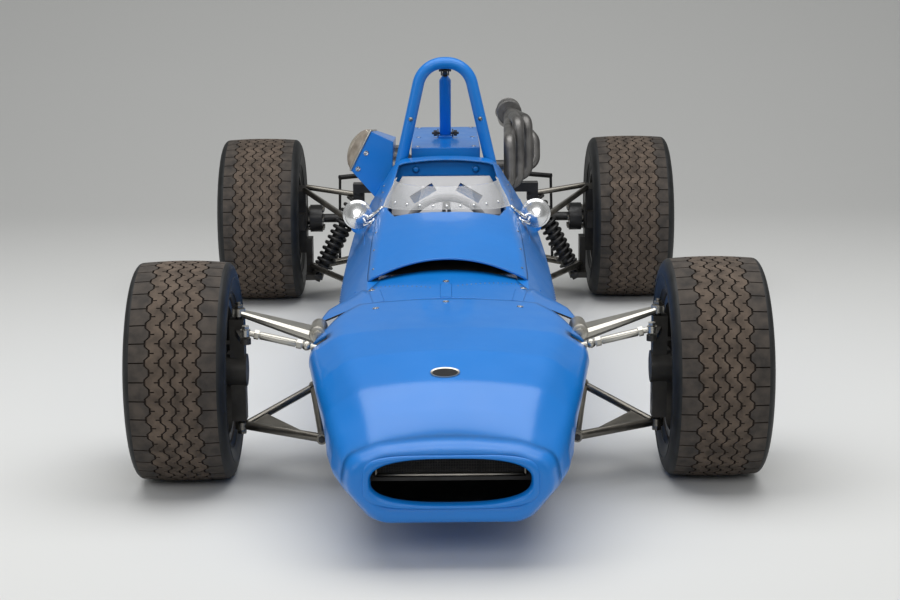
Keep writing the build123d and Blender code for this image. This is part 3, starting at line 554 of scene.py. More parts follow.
def matt(name, low, high, grain, roughness, detail=6.0, relief=None):
    """Paint, felt or rubber: two tones, one roughness, and relief as emboss takes it."""
    finish, tree, shader = new_finish(name)
    mottle(tree, shader, low, high, grain, detail)
    if relief:
        emboss(tree, shader, *relief)
    shader.inputs["Roughness"].default_value = roughness
    return finish


def finish_piece(piece, material, body):
    dress(piece, material)
    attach(piece, body)


def inlay(piece, material, direction):
    """Give the widest face that looks this way a second material."""
    piece.data.materials.append(material)
    ahead = Vector(direction)
    widest = max(piece.data.polygons, key=lambda f: len(f.vertices) * 10 + f.normal.dot(ahead))
    widest.material_index = 1


def quarter_turn():
    """A slotted fastener head."""
    head = drum(FASTENER_RADIUS, FASTENER_HEIGHT, 28, 0.0007)
    dish(head, FASTENER_RIM, FASTENER_DISH, above=0.9 * FASTENER_HEIGHT)
    ridge = drum(FASTENER_RADIUS * 0.86, 0.0016, 4, 0.0002, low=0.0012)
    narrow = Matrix.Diagonal((1.25, 0.10, 1.0, 1.0))
    ridge.data.transform(narrow @ Matrix.Rotation(math.pi / 4, 4, "Z"))
    return join([head, ridge], "quarter_turn")


placings = [
    stand(*find_surface(panel, x, y), FASTENER_TURN * index)
    for index, (panel, x, y) in enumerate(FASTENERS)
]
heads = repeat(quarter_turn(), placings, "quarter_turn_fasteners")
finish_piece(heads, chrome, "chassis")

plate = drum(1.0, BADGE_THICKNESS, BADGE_SIDES)
plate.data.transform(Matrix.Diagonal((BADGE_HALF_WIDTH, BADGE_HALF_LENGTH, 1.0, 1.0)))
dish(plate, BADGE_RIM, BADGE_SINK)
settle(plate, *find_surface("nose_cone", *BADGE_PLACE))
plate.name = "badge_plate"
finish_piece(plate, nickel, "chassis")
badge_enamel = matt("badge_enamel", (0.010, 0.010, 0.011), (0.030, 0.030, 0.030), 200, 0.2)
inlay(plate, badge_enamel, (0, 0, 1))

lip = start_from(bpy.ops.mesh.primitive_circle_add, vertices=MOUTH_POINTS, radius=1.0)
lip.name = "mouth_lip"
start_edit(lip, "EDGE")
bpy.ops.mesh.select_all(action="SELECT")
for ring, (back, half_width, half_height, squareness) in enumerate(MOUTH_RINGS):
    if ring:
        bpy.ops.mesh.extrude_region_move()
    mesh = bmesh.from_edit_mesh(lip.data)
    chosen = [v for v in mesh.verts if v.select]
    for index, vertex in enumerate(chosen):
        turn = 2 * math.pi * index / len(chosen)
        across, up = math.cos(turn), math.sin(turn)
        vertex.co = (
            half_width * math.copysign(abs(across) ** (2 / squareness), across),
            MOUTH_TIP + back,
            MOUTH_HEIGHT + half_height * math.copysign(abs(up) ** (2 / squareness), up),
        )
    bmesh.update_edit_mesh(lip.data)
bpy.ops.mesh.select_all(action="SELECT")
bpy.ops.mesh.normals_make_consistent(inside=False)
end_edit()
bpy.ops.object.shade_smooth()
finish_piece(lip, blue_paint, "chassis")

on_core = (
    Matrix.Translation(CORE_PLACE)
    @ Matrix.Rotation(CORE_TILT, 4, "X")
    @ Matrix.Translation((0, -GUARD_STANDOFF, 0))
)
guard = grid(int(GUARD_WIDTH / GUARD_PITCH), int(GUARD_HEIGHT / GUARD_PITCH), 1.0)
guard.name = "radiator_guard"
guard.data.transform(Matrix.Diagonal((GUARD_WIDTH, GUARD_HEIGHT, 1.0, 1.0)))
weave(guard, GUARD_WIRE)
guard.data.transform(on_core @ Matrix.Rotation(math.pi / 2, 4, "X"))
finish_piece(guard, mesh_wire, "chassis")
corners = [
    on_core @ Vector((x * GUARD_WIDTH / 2, -0.001, z * GUARD_HEIGHT / 2))
    for x, z in ((-1, 1), (-1, -1), (1, -1), (1, 1))
]
guard_frame = rails(corners, GUARD_RAIL, 8, "radiator_guard_frame")
finish_piece(guard_frame, darker_nickel, "chassis")


# Front hatch and scuttle: three thin doubler strips under the fasteners, rows of small rivets
# along the hatch's rear edge, and screws that hold the scuttle and the tub's skins.
STRIPS = [
    # x, y at the front, x, y at the back
    (-0.006, -0.944, -0.005, -0.826),
    (-0.176, -0.944, -0.190, -0.828),
    (0.176, -0.944, 0.190, -0.824),
]
STRIP_WIDTH = 0.030
STRIP_THICKNESS = 0.0012
HATCH_RIVETS = [((-0.199, -0.779), (-0.046, -0.851)), ((0.026, -0.840), (0.190, -0.763))]
HATCH_RIVET_RADIUS = 0.0019
RIVET_PITCH = 0.0125
SEAM_SCREWS = [
    # y, z
    (-0.66, 0.447), (-0.52, 0.474), (-0.38, 0.500), (-0.20, 0.526), (0.02, 0.532), (0.20, 0.532),
    (0.34, 0.532),
]
SEAM_SCREW_RADIUS = 0.0034
TUB_ROWS = [
    # z, y of the first, y of the last, count
    (0.392, -0.93, -0.70, 8), (0.455, -0.30, 0.54, 26), (0.130, -0.92, 0.54, 44),
    (0.330, -0.92, 0.54, 44),
]
TUB_RIVET_RADIUS = 0.0030


def thicken(sheet, thickness):
    """Give a sheet its thickness, inwards."""
    skin = sheet.modifiers.new("skin", "SOLIDIFY")
    skin.thickness = thickness
    bpy.ops.object.modifier_apply(modifier="skin")


def rivet(radius):
    """A low domed rivet head, set into the skin a little."""
    dome = [(1.0, 0.15), (0.7, 0.5), (0.2, 0.65)]    # out and up, as shares of the radius
    profile = [(radius * out, radius * up) for out, up in dome]
    return turned([(radius, -0.0004), *profile], sides=10, smooth=60)


def spaced(start, end, count):
    """This many places, evenly from start to end."""
    return [start + (end - start) * index / (count - 1) for index in range(count)]


strips = []
for front_x, front_y, back_x, back_y in STRIPS:
    strip = grid(4, 10, 1.0)
    for vertex in strip.data.vertices:
        share = vertex.co.y + 0.5
        x = front_x + (back_x - front_x) * share + vertex.co.x * STRIP_WIDTH
        y = front_y + (back_y - front_y) * share
        vertex.co = (x, y, find_surface("front_hatch", x, y)[0].z + STRIP_THICKNESS)
    thicken(strip, STRIP_THICKNESS * 1.5)
    strips.append(strip)
finish_piece(join(strips, "hatch_doublers"), blue_paint, "chassis")

placings = []
for start, end in HATCH_RIVETS:
    start, end = Vector(start), Vector(end)
    gaps = int((end - start).length / RIVET_PITCH)
    for x, y in spaced(start, end, gaps + 1):
        placings.append(stand(*find_surface("front_hatch", x, y)))
hatch_rivets = repeat(rivet(HATCH_RIVET_RADIUS), placings, "hatch_rivets")
finish_piece(hatch_rivets, darker_nickel, "chassis")

placings = [
    stand(*find_side("scuttle", side, y, z)) for side in (1, -1) for y, z in SEAM_SCREWS
]
seam_screws = repeat(rivet(SEAM_SCREW_RADIUS), placings, "scuttle_screws")
finish_piece(seam_screws, darker_nickel, "chassis")
placings = [
    stand(*find_side("tub", side, y, z))
    for side in (1, -1)
    for z, first_y, last_y, count in TUB_ROWS
    for y in spaced(first_y, last_y, count)
]
tub_rivets = repeat(rivet(TUB_RIVET_RADIUS), placings, "tub_rivets")
finish_piece(tub_rivets, blue_paint, "chassis")


# Cockpit: a bare sheet seat, a small suede-bound wheel on three drilled spokes, round gauges in
# the dash, and a thin clear wrap of a windscreen in chromed screws, its upward cut edge painted
# pale as a painted highlight.
COLUMN_TOP = Vector((0, 0.030, 0.410))
COLUMN_FOOT = Vector((0, -1.140, 0.346))
COLUMN_RADIUS = 0.009
GRIP_RADIUS = 0.012
WHEEL_RADIUS = 0.130
HUB = (0.028, 0.026, 32, 0.003, -0.020)      # radius, height, sides, bevel, underside
HUB_BOLT = (0.0035, 0.003, 6, 0.0004, 0.006)
HUB_BOLT_CIRCLE = 0.019
SPOKE_START = 0.020              # distance from the column's middle
SPOKE_WIDTH = 0.036              # at its start
SPOKE_TAPER = 0.014
SPOKE_THICKNESS = 0.003
DRILLED_FROM, DRILLED_TO = 0.04, 0.11
HOLE_RIM = 0.0022
SHEET_HAZE = 0.12                # how far the clear sheet hides what is behind it, face on
SHEET_HAZE_EDGE = 0.70           # and how much more it does where it is seen edge on
LIT_EDGE_FACING = 0.75           # faces that look up more than this are its cut edge, painted pale: a painted highlight
# how opaque the painted highlight on the cut edge is
EDGE_HIGHLIGHT_OPACITY = 0.92
SCREEN_SCREWS = (-0.150, -0.115, -0.078, -0.039, 0.0, 0.039, 0.078, 0.115, 0.150)
SCREEN_SCREW_RADIUS = 0.0042
SCREEN_SCREW_HEIGHT = 0.561
GAUGES = (-0.112, -0.052, 0.052, 0.112)
GAUGE_Y, GAUGE_Z = -0.130, 0.478
GAUGE_PROFILE = [
    # radius, height off the dash
    (0.023, -0.001), (0.023, 0.006), (0.0215, 0.007), (0.0205, 0.005), (0.0205, 0.003),
]
SHOULDER_BOLTS = [(-0.096, 0.394, 0.578), (0.096, 0.394, 0.578)]
SHOULDER_WASHER = (0.0125, 0.0015, 28, 0.0004)
SHOULDER_HEAD = (0.0088, 0.008, 6, 0.0008, 0.001)
BACKWARD, FORWARD = (0, 1, 0), (0, -1, 0)

brushed = metal(
    "brushed_seat", (0.27, 0.27, 0.28), (0.46, 0.46, 0.47), 0.34, 0.50, 5, metallic=0.9
)
dress(nodes["seat"], brushed)
suede = matt(
    "grey_suede", (0.20, 0.20, 0.205), (0.30, 0.30, 0.30), 60, 0.85, relief=(900, 0.0004, 0.6)
)
clear_sheet, tree, shader = new_finish("clear_sheet")
mottle(tree, shader, (0.60, 0.62, 0.64), (0.70, 0.71, 0.72), 6)
roughen(tree, shader, 0.02, 0.08, 20)
edge_on = tree.nodes.new("ShaderNodeLayerWeight")
edge_on.inputs["Blend"].default_value = 0.35
place = tree.nodes.new("ShaderNodeTexCoord")
facing = tree.nodes.new("ShaderNodeSeparateXYZ")
tree.links.new(place.outputs["Normal"], facing.inputs[0])
# The cut edge's faces that look up turn near opaque in the pale sheet colour: a painted highlight.
lit_top_edge = calculate(tree, "GREATER_THAN", facing.outputs["Z"], LIT_EDGE_FACING)
haze = calculate(
    tree, "MULTIPLY_ADD", edge_on.outputs["Facing"], SHEET_HAZE_EDGE, SHEET_HAZE
)
painted_edge_highlight = calculate(tree, "MULTIPLY", lit_top_edge, EDGE_HIGHLIGHT_OPACITY)
opacity = calculate(tree, "MAXIMUM", haze, painted_edge_highlight)
tree.links.new(opacity, shader.inputs["Alpha"])
shader.inputs["Specular IOR Level"].default_value = 1.0
shader.inputs["Coat Weight"].default_value = 1.0
dress(nodes["windscreen"], clear_sheet)

column_length = (COLUMN_TOP - COLUMN_FOOT).length
on_column = stand(COLUMN_TOP, COLUMN_TOP - COLUMN_FOOT)
grip = start_from(
    bpy.ops.mesh.primitive_torus_add,
    major_radius=WHEEL_RADIUS, minor_radius=GRIP_RADIUS, major_segments=72, minor_segments=18,
)
bpy.ops.object.shade_smooth()
grip.data.transform(on_column)
grip.name = "steering_grip"
finish_piece(grip, suede, "steering_wheel")
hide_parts("steering_wheel")


def is_drilled(face):
    middle = face.calc_center_median()
    return abs(middle.x) < 0.002 and DRILLED_FROM < middle.y < DRILLED_TO


parts = [
    drum(*HUB),
    drum(COLUMN_RADIUS, column_length, 20, 0.001, low=-column_length),
]
for angle in (0, 120, 240):
    spoke = grid(3, 7, 1.0)
    for vertex in spoke.data.vertices:
        share = vertex.co.y + 0.5
        reach = share * (WHEEL_RADIUS - SPOKE_START) + SPOKE_START
        vertex.co = (vertex.co.x * (SPOKE_WIDTH - SPOKE_TAPER * share), reach, 0.0)
    start_edit(spoke)
    pick(spoke, "faces", is_drilled)
    bpy.ops.mesh.inset(thickness=HOLE_RIM, use_individual=True)
    bpy.ops.mesh.delete(type="FACE")
    end_edit()
    thicken(spoke, SPOKE_THICKNESS)
    around = Matrix.Rotation(math.radians(angle), 4, "Z")
    spoke.data.transform(around @ Matrix.Translation((0, 0, -SPOKE_THICKNESS)))
    parts.append(spoke)
for angle in range(0, 360, 60):
    head = drum(*HUB_BOLT)
    around = Matrix.Rotation(math.radians(angle), 4, "Z")
    head.data.transform(around @ Matrix.Translation((HUB_BOLT_CIRCLE, 0, 0)))
    parts.append(head)
spokes = join(parts, "steering_spokes")
spokes.data.transform(on_column)
finish_piece(spokes, nickel, "steering_wheel")

placings = [
    stand(*find_point("windscreen", (x, -1.0, SCREEN_SCREW_HEIGHT), BACKWARD))
    for x in SCREEN_SCREWS
]
screen_screws = repeat(rivet(SCREEN_SCREW_RADIUS), placings, "screen_screws")
finish_piece(screen_screws, chrome, "chassis")

gauge_face = matt("gauge_face", (0.006, 0.006, 0.007), (0.018, 0.018, 0.018), 120, 0.12)
placings = [stand((x, GAUGE_Y, GAUGE_Z), BACKWARD) for x in GAUGES]
dials = repeat(turned(GAUGE_PROFILE, sides=32), placings, "dash_gauges")
finish_piece(dials, chrome, "chassis")
dials.data.materials.append(gauge_face)
for face in dials.data.polygons:
    if len(face.vertices) > 8:
        face.material_index = 1

shoulder_bolt = join([drum(*SHOULDER_WASHER), drum(*SHOULDER_HEAD)], "shoulder_bolt")
placings = [stand(place, FORWARD, 0.3) for place in SHOULDER_BOLTS]
shoulder_bolts = repeat(shoulder_bolt, placings, "shoulder_panel_bolts")
finish_piece(shoulder_bolts, blue_paint, "chassis")


# Mirrors: spun aluminium bullets with a rolled rim round the glass, each on two short chromed
# stays screwed to the side of the cockpit.
SIDES = (("left", 1), ("right", -1))
MIRROR_PLACE = (0.263, -0.118, 0.513)
BULLET = [
    # radius, distance ahead of the glass
    (0.0385, 0.004), (0.0388, -0.001), (0.0410, -0.003), (0.0432, -0.001), (0.0438, 0.004),
    (0.0432, 0.010), (0.0405, 0.0135), (0.0378, 0.016), (0.0372, 0.024), (0.0350, 0.038),
    (0.0312, 0.052), (0.0255, 0.066), (0.0185, 0.078), (0.0105, 0.087), (0.0040, 0.091),
    (0.0008, 0.0922),
]
MIRROR_STAYS = [
    # what it stands on, foot ahead of the glass, foot's height,
    # its end seen from the middle of the glass, its radius, its collar's radius and height
    ("scuttle", 0.046, 0.532, (-0.026, -0.040, -0.012), 0.0065, 0.0125, 0.007),
    ("tub", 0.060, 0.500, (-0.020, -0.050, -0.024), 0.0055, 0.0105, 0.006),
]
glass = metal("mirror_glass", (0.82, 0.83, 0.84), (0.88, 0.88, 0.89), 0.01, 0.03, 6)
for side, sign in SIDES:
    x, y, z = MIRROR_PLACE
    place = Vector((sign * x, y, z))
    bullet = settle(turned(BULLET, sides=56, smooth=28), place, FORWARD)
    bullet.name = f"mirror_bullet_{side}"
    finish_piece(bullet, spun_alloy, "chassis")
    inlay(bullet, glass, BACKWARD)
    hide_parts(f"mirror_{side}")
    parts = []
    for panel, ahead, foot_z, (end_x, end_y, end_z), radius, *collar in MIRROR_STAYS:
        foot, facing = find_side(panel, sign, y - ahead, foot_z)
        end = place + Vector((sign * end_x, end_y, end_z))
        parts.append(bar(foot, end, radius, 20, 0.0015))
        parts.append(settle(drum(*collar, 24, 0.0018), foot, facing))
    finish_piece(join(parts, f"mirror_bracket_{side}"), chrome, "chassis")


# Roll hoop and brace: a bent tube hoop with button screws in its legs, and a flattened stay that
# ends in a black rod end under the hoop and is pinned to the deck with a cross bolt.
HOOP_TOP = Vector((0, 0.496, 0.898))
HOOP_SCREWS = [(-0.112, 0.4615, 0.732), (0.112, 0.4615, 0.732)]
HOOP_SCREW_RADIUS = 0.0072
BRACE_FOOT = Vector((0, 0.800, 0.640))
BASE = (0.034, 0.008, 4, 0.001)  # radius, height, sides, bevel
BASE_PLACE = (0, 0.805, 0.634)
STAY_HALF_WIDTH, STAY_HALF_DEPTH = 0.019, 0.010
STAY_NECK = 0.026                # the length over which the stay's end is drawn in
ROD_END_REACH = 0.049            # from the drawn end to the hoop
ROD_END_EYE = 0.030
ROD_END_PARTS = [
    # from and to along the stay, radius, sides: the threaded shank and its lock nut
    (-0.004, 0.026, 0.0065, 20), (0.004, 0.010, 0.0105, 6),
]
EYE_PARTS = [
    # half length, radius, sides, bevel: the eye and the bolt through it
    (0.007, 0.0135, 28, 0.002), (0.020, 0.0050, 6, 0.001),
]
TAB = (0.017, 0.004, 24, 0.0006, -0.002)
TABS_X = (-0.0115, 0.0115)
CROSS_BOLT = BRACE_FOOT + Vector((0, -0.008, 0.010))
CROSS_PARTS = [
    # x of its middle, half length, radius, sides: the bolt, its two nuts, its two washers
    (0.0, 0.046, 0.0045, 16),
    (-0.034, 0.006, 0.0100, 6), (0.034, 0.006, 0.0100, 6),
    (-0.025, 0.002, 0.0145, 24), (0.025, 0.002, 0.0145, 24),
]
DECK_FASTENERS = [(x, y) for x in (-0.092, 0.092) for y in (0.535, 0.80, 1.10)]
ACROSS, ALONG = (1, 0, 0), (0, 1, 0)


def pin(middle, axis, half_length, radius, sides, bevel=0.001):
    """A bar that reaches as far to either side of a point."""
    middle, reach = Vector(middle), Vector(axis) * half_length
    return bar(middle - reach, middle + reach, radius, sides, bevel)


hoop_screws = repeat(
    rivet(HOOP_SCREW_RADIUS), [stand(place, FORWARD) for place in HOOP_SCREWS], "hoop_screws"
)
finish_piece(hoop_screws, darker_nickel, "chassis")

brace_length = (HOOP_TOP - BRACE_FOOT).length
tube_length = brace_length - ROD_END_REACH - STAY_NECK
stay = start_from(
    bpy.ops.mesh.primitive_cylinder_add,
    radius=1.0, depth=tube_length, vertices=32, location=(0, 0, tube_length / 2),
)
stay.data.transform(Matrix.Diagonal((STAY_HALF_WIDTH, STAY_HALF_DEPTH, 1.0, 1.0)))
start_edit(stay)
pick(stay, "faces", lambda f: f.normal.z > 0.9)
bpy.ops.mesh.extrude_region_move(TRANSFORM_OT_translate={"value": (0, 0, STAY_NECK)})
bpy.ops.transform.resize(value=(0.42, 0.75, 1), center_override=(0, 0, tube_length + STAY_NECK))
end_edit()
bpy.ops.object.shade_smooth_by_angle(angle=math.radians(35))
settle(stay, BRACE_FOOT, HOOP_TOP - BRACE_FOOT)
base = drum(*BASE)
base.data.transform(Matrix.Translation(BASE_PLACE) @ Matrix.Rotation(math.pi / 4, 4, "Z"))
stay = join([stay, base], "hoop_stay")
finish_piece(stay, blue_paint, "chassis")
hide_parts("roll_brace")

up = (HOOP_TOP - BRACE_FOOT).normalized()
neck = BRACE_FOOT + up * (brace_length - ROD_END_REACH)
eye = neck + up * ROD_END_EYE
parts = [
    bar(neck + up * start, neck + up * end, radius, sides)
    for start, end, radius, sides in ROD_END_PARTS
]
parts += [pin(eye, ACROSS, *sizes) for sizes in EYE_PARTS]
for x in TABS_X:
    tab = drum(*TAB)
    tab.data.transform(Matrix.Diagonal((1.0, 1.4, 1.0, 1.0)))
    parts.append(settle(tab, eye + Vector((x, -0.002, 0.006)), ACROSS))
for x, half_length, radius, sides in CROSS_PARTS:
    parts.append(pin(CROSS_BOLT + Vector((x, 0, 0)), ACROSS, half_length, radius, sides))
finish_piece(join(parts, "stay_fittings"), black_steel, "chassis")
placings = [stand(*find_surface("engine_deck", x, y), 0.6) for x, y in DECK_FASTENERS]
deck_fasteners = repeat(quarter_turn(), placings, "deck_fasteners")
finish_piece(deck_fasteners, chrome, "chassis")


# Front suspension: nickel-plated rocker arms on cross pivots, wishbones, and tie rods with
# sleeves and lock nuts between their eyes and the rack.
ROCKER_PIVOT = (0.322, -1.070, 0.370)
PIVOT_HALF = 0.050
PIVOT_RADIUS = 0.0205
PIVOT_CAP_RADIUS = 0.0125
KINGPIN_X, KINGPIN_Y = 0.518, -1.070
KINGPIN_PARTS = [
    # radius, height, sides, bevel, underside: top nut, its washer, thread, lower nut
    (0.0115, 0.010, 6, 0.001, 0.4272), (0.0150, 0.002, 28, 0.0004, 0.4268),
    (0.0065, 0.016, 16, 0.001, 0.4272), (0.0125, 0.012, 6, 0.001, 0.109),
]
RACK_END = Vector((0.142, -1.190, 0.312))
ROD_EYE = Vector((0.486, -1.190, 0.392))
SLEEVE = (0.66, 0.91)            # shares of the way from the rack's end to the eye
SLEEVE_NUTS = [(0.615, 0.655), (0.915, 0.95)]
SLEEVE_RADIUS = 0.0095
SLEEVE_NUT_RADIUS = 0.0118
ROD_BALL = 0.585
BALL_PROFILE = [
    # radius, height
    (0.004, -0.011), (0.0095, -0.008), (0.0125, 0.0), (0.0095, 0.008), (0.004, 0.011),
]
EYE_NUT = (0.0095, 0.009, 6, 0.001, 0.4005)
EYE_NUT_X, EYE_NUT_Y = 0.490, -1.190
WISHBONE_BOLTS = [(0.312, -1.170, 0.122), (0.352, -0.870, 0.176)]
WISHBONE_BOLT_HALF = 0.020
WISHBONE_BOLT_RADIUS = 0.0085
for side, sign in SIDES:
    x, y, z = ROCKER_PIVOT
    parts = [pin((sign * x, y, z), ALONG, PIVOT_HALF, PIVOT_RADIUS, 32, 0.003)]
    for end in (-1, 1):
        start_y, end_y = y + end * (PIVOT_HALF - 0.002), y + end * (PIVOT_HALF + 0.008)
        parts.append(bar((sign * x, start_y, z), (sign * x, end_y, z), PIVOT_CAP_RADIUS, 6))
    finish_piece(join(parts, f"rocker_pivot_{side}"), nickel, "chassis")

    joint = join([drum(*sizes) for sizes in KINGPIN_PARTS], f"kingpin_nuts_{side}")
    joint.data.transform(Matrix.Translation((sign * KINGPIN_X, KINGPIN_Y, 0)))
    finish_piece(joint, darker_nickel, f"knuckle_{side}")

    flip = Matrix.Diagonal((sign, 1, 1, 1))
    inner, outer = flip @ RACK_END, flip @ ROD_EYE
    run = outer - inner
    parts = [bar(inner + run * SLEEVE[0], inner + run * SLEEVE[1], SLEEVE_RADIUS, 24)]
    for start, end in SLEEVE_NUTS:
        parts.append(bar(inner + run * start, inner + run * end, SLEEVE_NUT_RADIUS, 6))
    ball = turned(BALL_PROFILE, sides=20, smooth=60)
    parts.append(settle(ball, inner + run * ROD_BALL, run))
    parts.append(drum(*EYE_NUT))
    parts[-1].data.transform(Matrix.Translation((sign * EYE_NUT_X, EYE_NUT_Y, 0)))
    sleeve = join(parts, f"tie_rod_sleeve_{side}")
    finish_piece(sleeve, nickel, "steering_rack")

    parts = [
        pin((sign * x, y, z), ALONG, WISHBONE_BOLT_HALF, WISHBONE_BOLT_RADIUS, 6)
        for x, y, z in WISHBONE_BOLTS
    ]
    finish_piece(join(parts, f"wishbone_bolts_{side}"), black_steel, "chassis")


# Wheels: cast spoked rims, each held by one big hexagonal nut over a washer, with the threaded
# end of the stub axle showing in its middle.
WHEELS = [
    # end, y, z of the axle, outer face of the boss
    ("front", -1.070, 0.272, 0.727), ("rear", 1.230, 0.292, 0.768),
]
WASHER_PROFILE = [(0.036, -0.001), (0.036, 0.003), (0.031, 0.006)]     # radius, height
WHEEL_NUT = (0.030, 0.016, 6, 0.0015, 0.004)
AXLE_END_PROFILE = [(0.018, 0.018), (0.0175, 0.0235), (0.014, 0.025), (0.013, 0.021)]
for end, y, z, face_x in WHEELS:
    for side, sign in SIDES:
        parts = [turned(WASHER_PROFILE), drum(*WHEEL_NUT), turned(AXLE_END_PROFILE, sides=32)]
        nut = join(parts, f"wheel_nut_{end}_{side}")
        settle(nut, (sign * face_x, y, z), (sign, 0, 0))
        finish_piece(nut, darker_nickel, f"wheel_{end}_{side}")


# Tyres: wide hand-cut racing tyres. One length of tread, with its zigzag grooves, cross sipes and
# shoulder cuts sunk into it, is repeated round the wheel, and the walls are drawn in to the beads.
GROOVE_WIDTH = 0.0048
GROOVE_DEPTH = 0.006
GROOVE_FLAT = 0.0070     # half the length of the groove's straight runs
ZIGZAG = 0.0052
SIPE_WIDTH = 0.0031
SHOULDER = 0.016         # width of the tread's edge rows
CROWN_DROP = 0.0045
BEAD_RADIUS = 0.165
BEAD_WALL = 0.015
WALL_MIDDLE = 0.62       # where the tyre is widest, from the bead to the tread
WALL_STEPS = 8
TREADS = {
    # repeats round the tyre, half the tread's width, grooves across it, beads' half distance
    "front": (37, 0.103, (-0.059, -0.025, 0.002, 0.031, 0.062), 0.0945),
    "rear": (40, 0.119, (-0.080, -0.048, -0.016, 0.016, 0.048, 0.080), 0.1195),
}

tread_dust = matt(
    "tread_dust", (0.048, 0.036, 0.027), (0.128, 0.095, 0.071), 32, 0.92, 10.0, (700, 0.0006, 0.8)
)
tread_edge = matt(
    "tread_shoulder", (0.030, 0.026, 0.023), (0.076, 0.062, 0.051), 32, 0.9, 10.0,
    (700, 0.0006, 0.8),
)
groove_rubber = matt("groove_rubber", (0.022, 0.016, 0.012), (0.046, 0.033, 0.025), 90, 0.95)
wall_rubber, tree, shader = new_finish("wall_rubber")
mottle(tree, shader, (0.009, 0.010, 0.010), (0.018, 0.019, 0.020), 25)
emboss(tree, shader, 350, 0.0003, 0.5)
shader.inputs["Roughness"].default_value = 0.55
shader.inputs["Specular IOR Level"].default_value = 0.3


def tread_columns(grooves, half):
    """Places across the tread, each with how far it follows the zigzag, and the groove spans."""
    columns = [(-half, 0.0), (-half + SHOULDER, 0.0)]
    spans = []
    for index, middle in enumerate(grooves):
        if index:
            columns.append(((grooves[index - 1] + middle) / 2, 0.0))
        spans.append(len(columns))
        columns.append((middle - GROOVE_WIDTH / 2, 1.0))
        columns.append((middle + GROOVE_WIDTH / 2, 1.0))
    columns += [(half - SHOULDER, 0.0), (half, 0.0)]
    return columns, spans


def make_tread(repeats, half, grooves, radius):
    """A full ring of tread round the X axis."""
    columns, spans = tread_columns(grooves, half)
    pitch = 2 * math.pi * radius / repeats
    cut, flat = SIPE_WIDTH / 2, GROOVE_FLAT
    rows = [(-flat, 1), (-cut, 1), (cut, 1), (flat, 1)]      # y, which way the zigzag goes
    rows += [(pitch / 2 + y, -1) for y in (-flat, -cut, cut, flat)] + [(pitch - flat, 1)]
    right_sipe, left_sipe = 1, 5     # the row gaps that hold the cross cuts
    across, along = len(columns) - 1, len(rows) - 1
    tread = grid(across, along, 2.0)
    cells = {}
    for vertex in tread.data.vertices:
        column = round((vertex.co.x + 1) / 2 * across)
        row = round((vertex.co.y + 1) / 2 * along)
        place, follows = columns[column]
        vertex.co = (place + follows * ZIGZAG * rows[row][1], rows[row][0], 0)
        cells[vertex.index] = (column, row)

    def is_cut(face):
        column = min(cells[v.index][0] for v in face.verts)
        row = min(cells[v.index][1] for v in face.verts)
        if column in spans:
            return True
        if row == right_sipe:
            return column - 1 in spans or column > spans[-1]
        if row == left_sipe:
            return column + 1 in spans or column < spans[0]
        return False

    def closes_an_end(face):
        ends = (rows[0][0], rows[-1][0])
        return any(all(abs(v.co.y - end) < 1e-6 for v in face.verts) for end in ends)

    start_edit(tread)
    pick(tread, "faces", is_cut)
    bpy.ops.mesh.extrude_region_move(TRANSFORM_OT_translate={"value": (0, 0, -GROOVE_DEPTH)})
    pick(tread, "faces", closes_an_end)
    bpy.ops.mesh.delete(type="FACE")
    end_edit()
    for vertex in tread.data.vertices:
        x, y, z = vertex.co
        turn = y / pitch * 2 * math.pi / repeats
        reach = radius - CROWN_DROP * (x / half) ** 2 + z
        vertex.co = (x, reach * math.sin(turn), reach * math.cos(turn))
    start_edit(tread)
    bpy.ops.mesh.select_all(action="SELECT")
    bpy.ops.mesh.spin(
        steps=repeats - 1, angle=2 * math.pi * (repeats - 1) / repeats,
        center=(0, 0, 0), axis=(1, 0, 0), dupli=True,
    )
    bpy.ops.mesh.select_all(action="SELECT")
    bpy.ops.mesh.remove_doubles(threshold=0.0003)
    end_edit()
    return tread


def wall_profile(half, widest, radius, bead):
    """Places and radii down one wall, from the tread to the bead, with two moulded ribs."""
    middle = BEAD_RADIUS + WALL_MIDDLE * (radius - BEAD_RADIUS)
    edge = radius - CROWN_DROP
    foot = BEAD_RADIUS + BEAD_WALL
    profile = []
    for step in range(1, WALL_STEPS + 1):
        turn = math.pi / 2 * step / WALL_STEPS
        x = half + (widest - half) * math.sin(turn)
        profile.append((x, middle + (edge - middle) * math.cos(turn)))
    rib = widest + 0.0014
    profile += [(rib, middle - 0.001), (rib, middle - 0.004), (widest, middle - 0.005)]
    for step in range(2, WALL_STEPS + 1):
        turn = math.pi / 2 * step / WALL_STEPS
        x = bead + (widest - bead) * math.cos(turn)
        r = middle - (middle - foot) * math.sin(turn)
        profile.append((x, r))
        if step == WALL_STEPS // 2:
            profile += [(x + 0.0016, r - 0.0006), (x + 0.0008, r - 0.0030)]
            profile += [(x - 0.0022, r - 0.0034)]
    profile.append((bead, BEAD_RADIUS + 0.0006))
    return profile


def draw_wall(tyre, side, half, profile):
    """Extrude the tread's edge ring along the wall's profile, round from its first ring on."""
    start_edit(tyre, "EDGE")
    edge = half - 1e-4
    pick(tyre, "edges", lambda e: e.is_boundary and all(side * v.co.x > edge for v in e.verts))
    for place, radius in profile:
        bpy.ops.mesh.extrude_region_move()
        mesh = bmesh.from_edit_mesh(tyre.data)
        for vertex in mesh.verts:
            if vertex.select:
                share = radius / math.hypot(vertex.co.y, vertex.co.z)
                vertex.co = (side * place, vertex.co.y * share, vertex.co.z * share)
        bmesh.update_edit_mesh(tyre.data)
    end_edit()


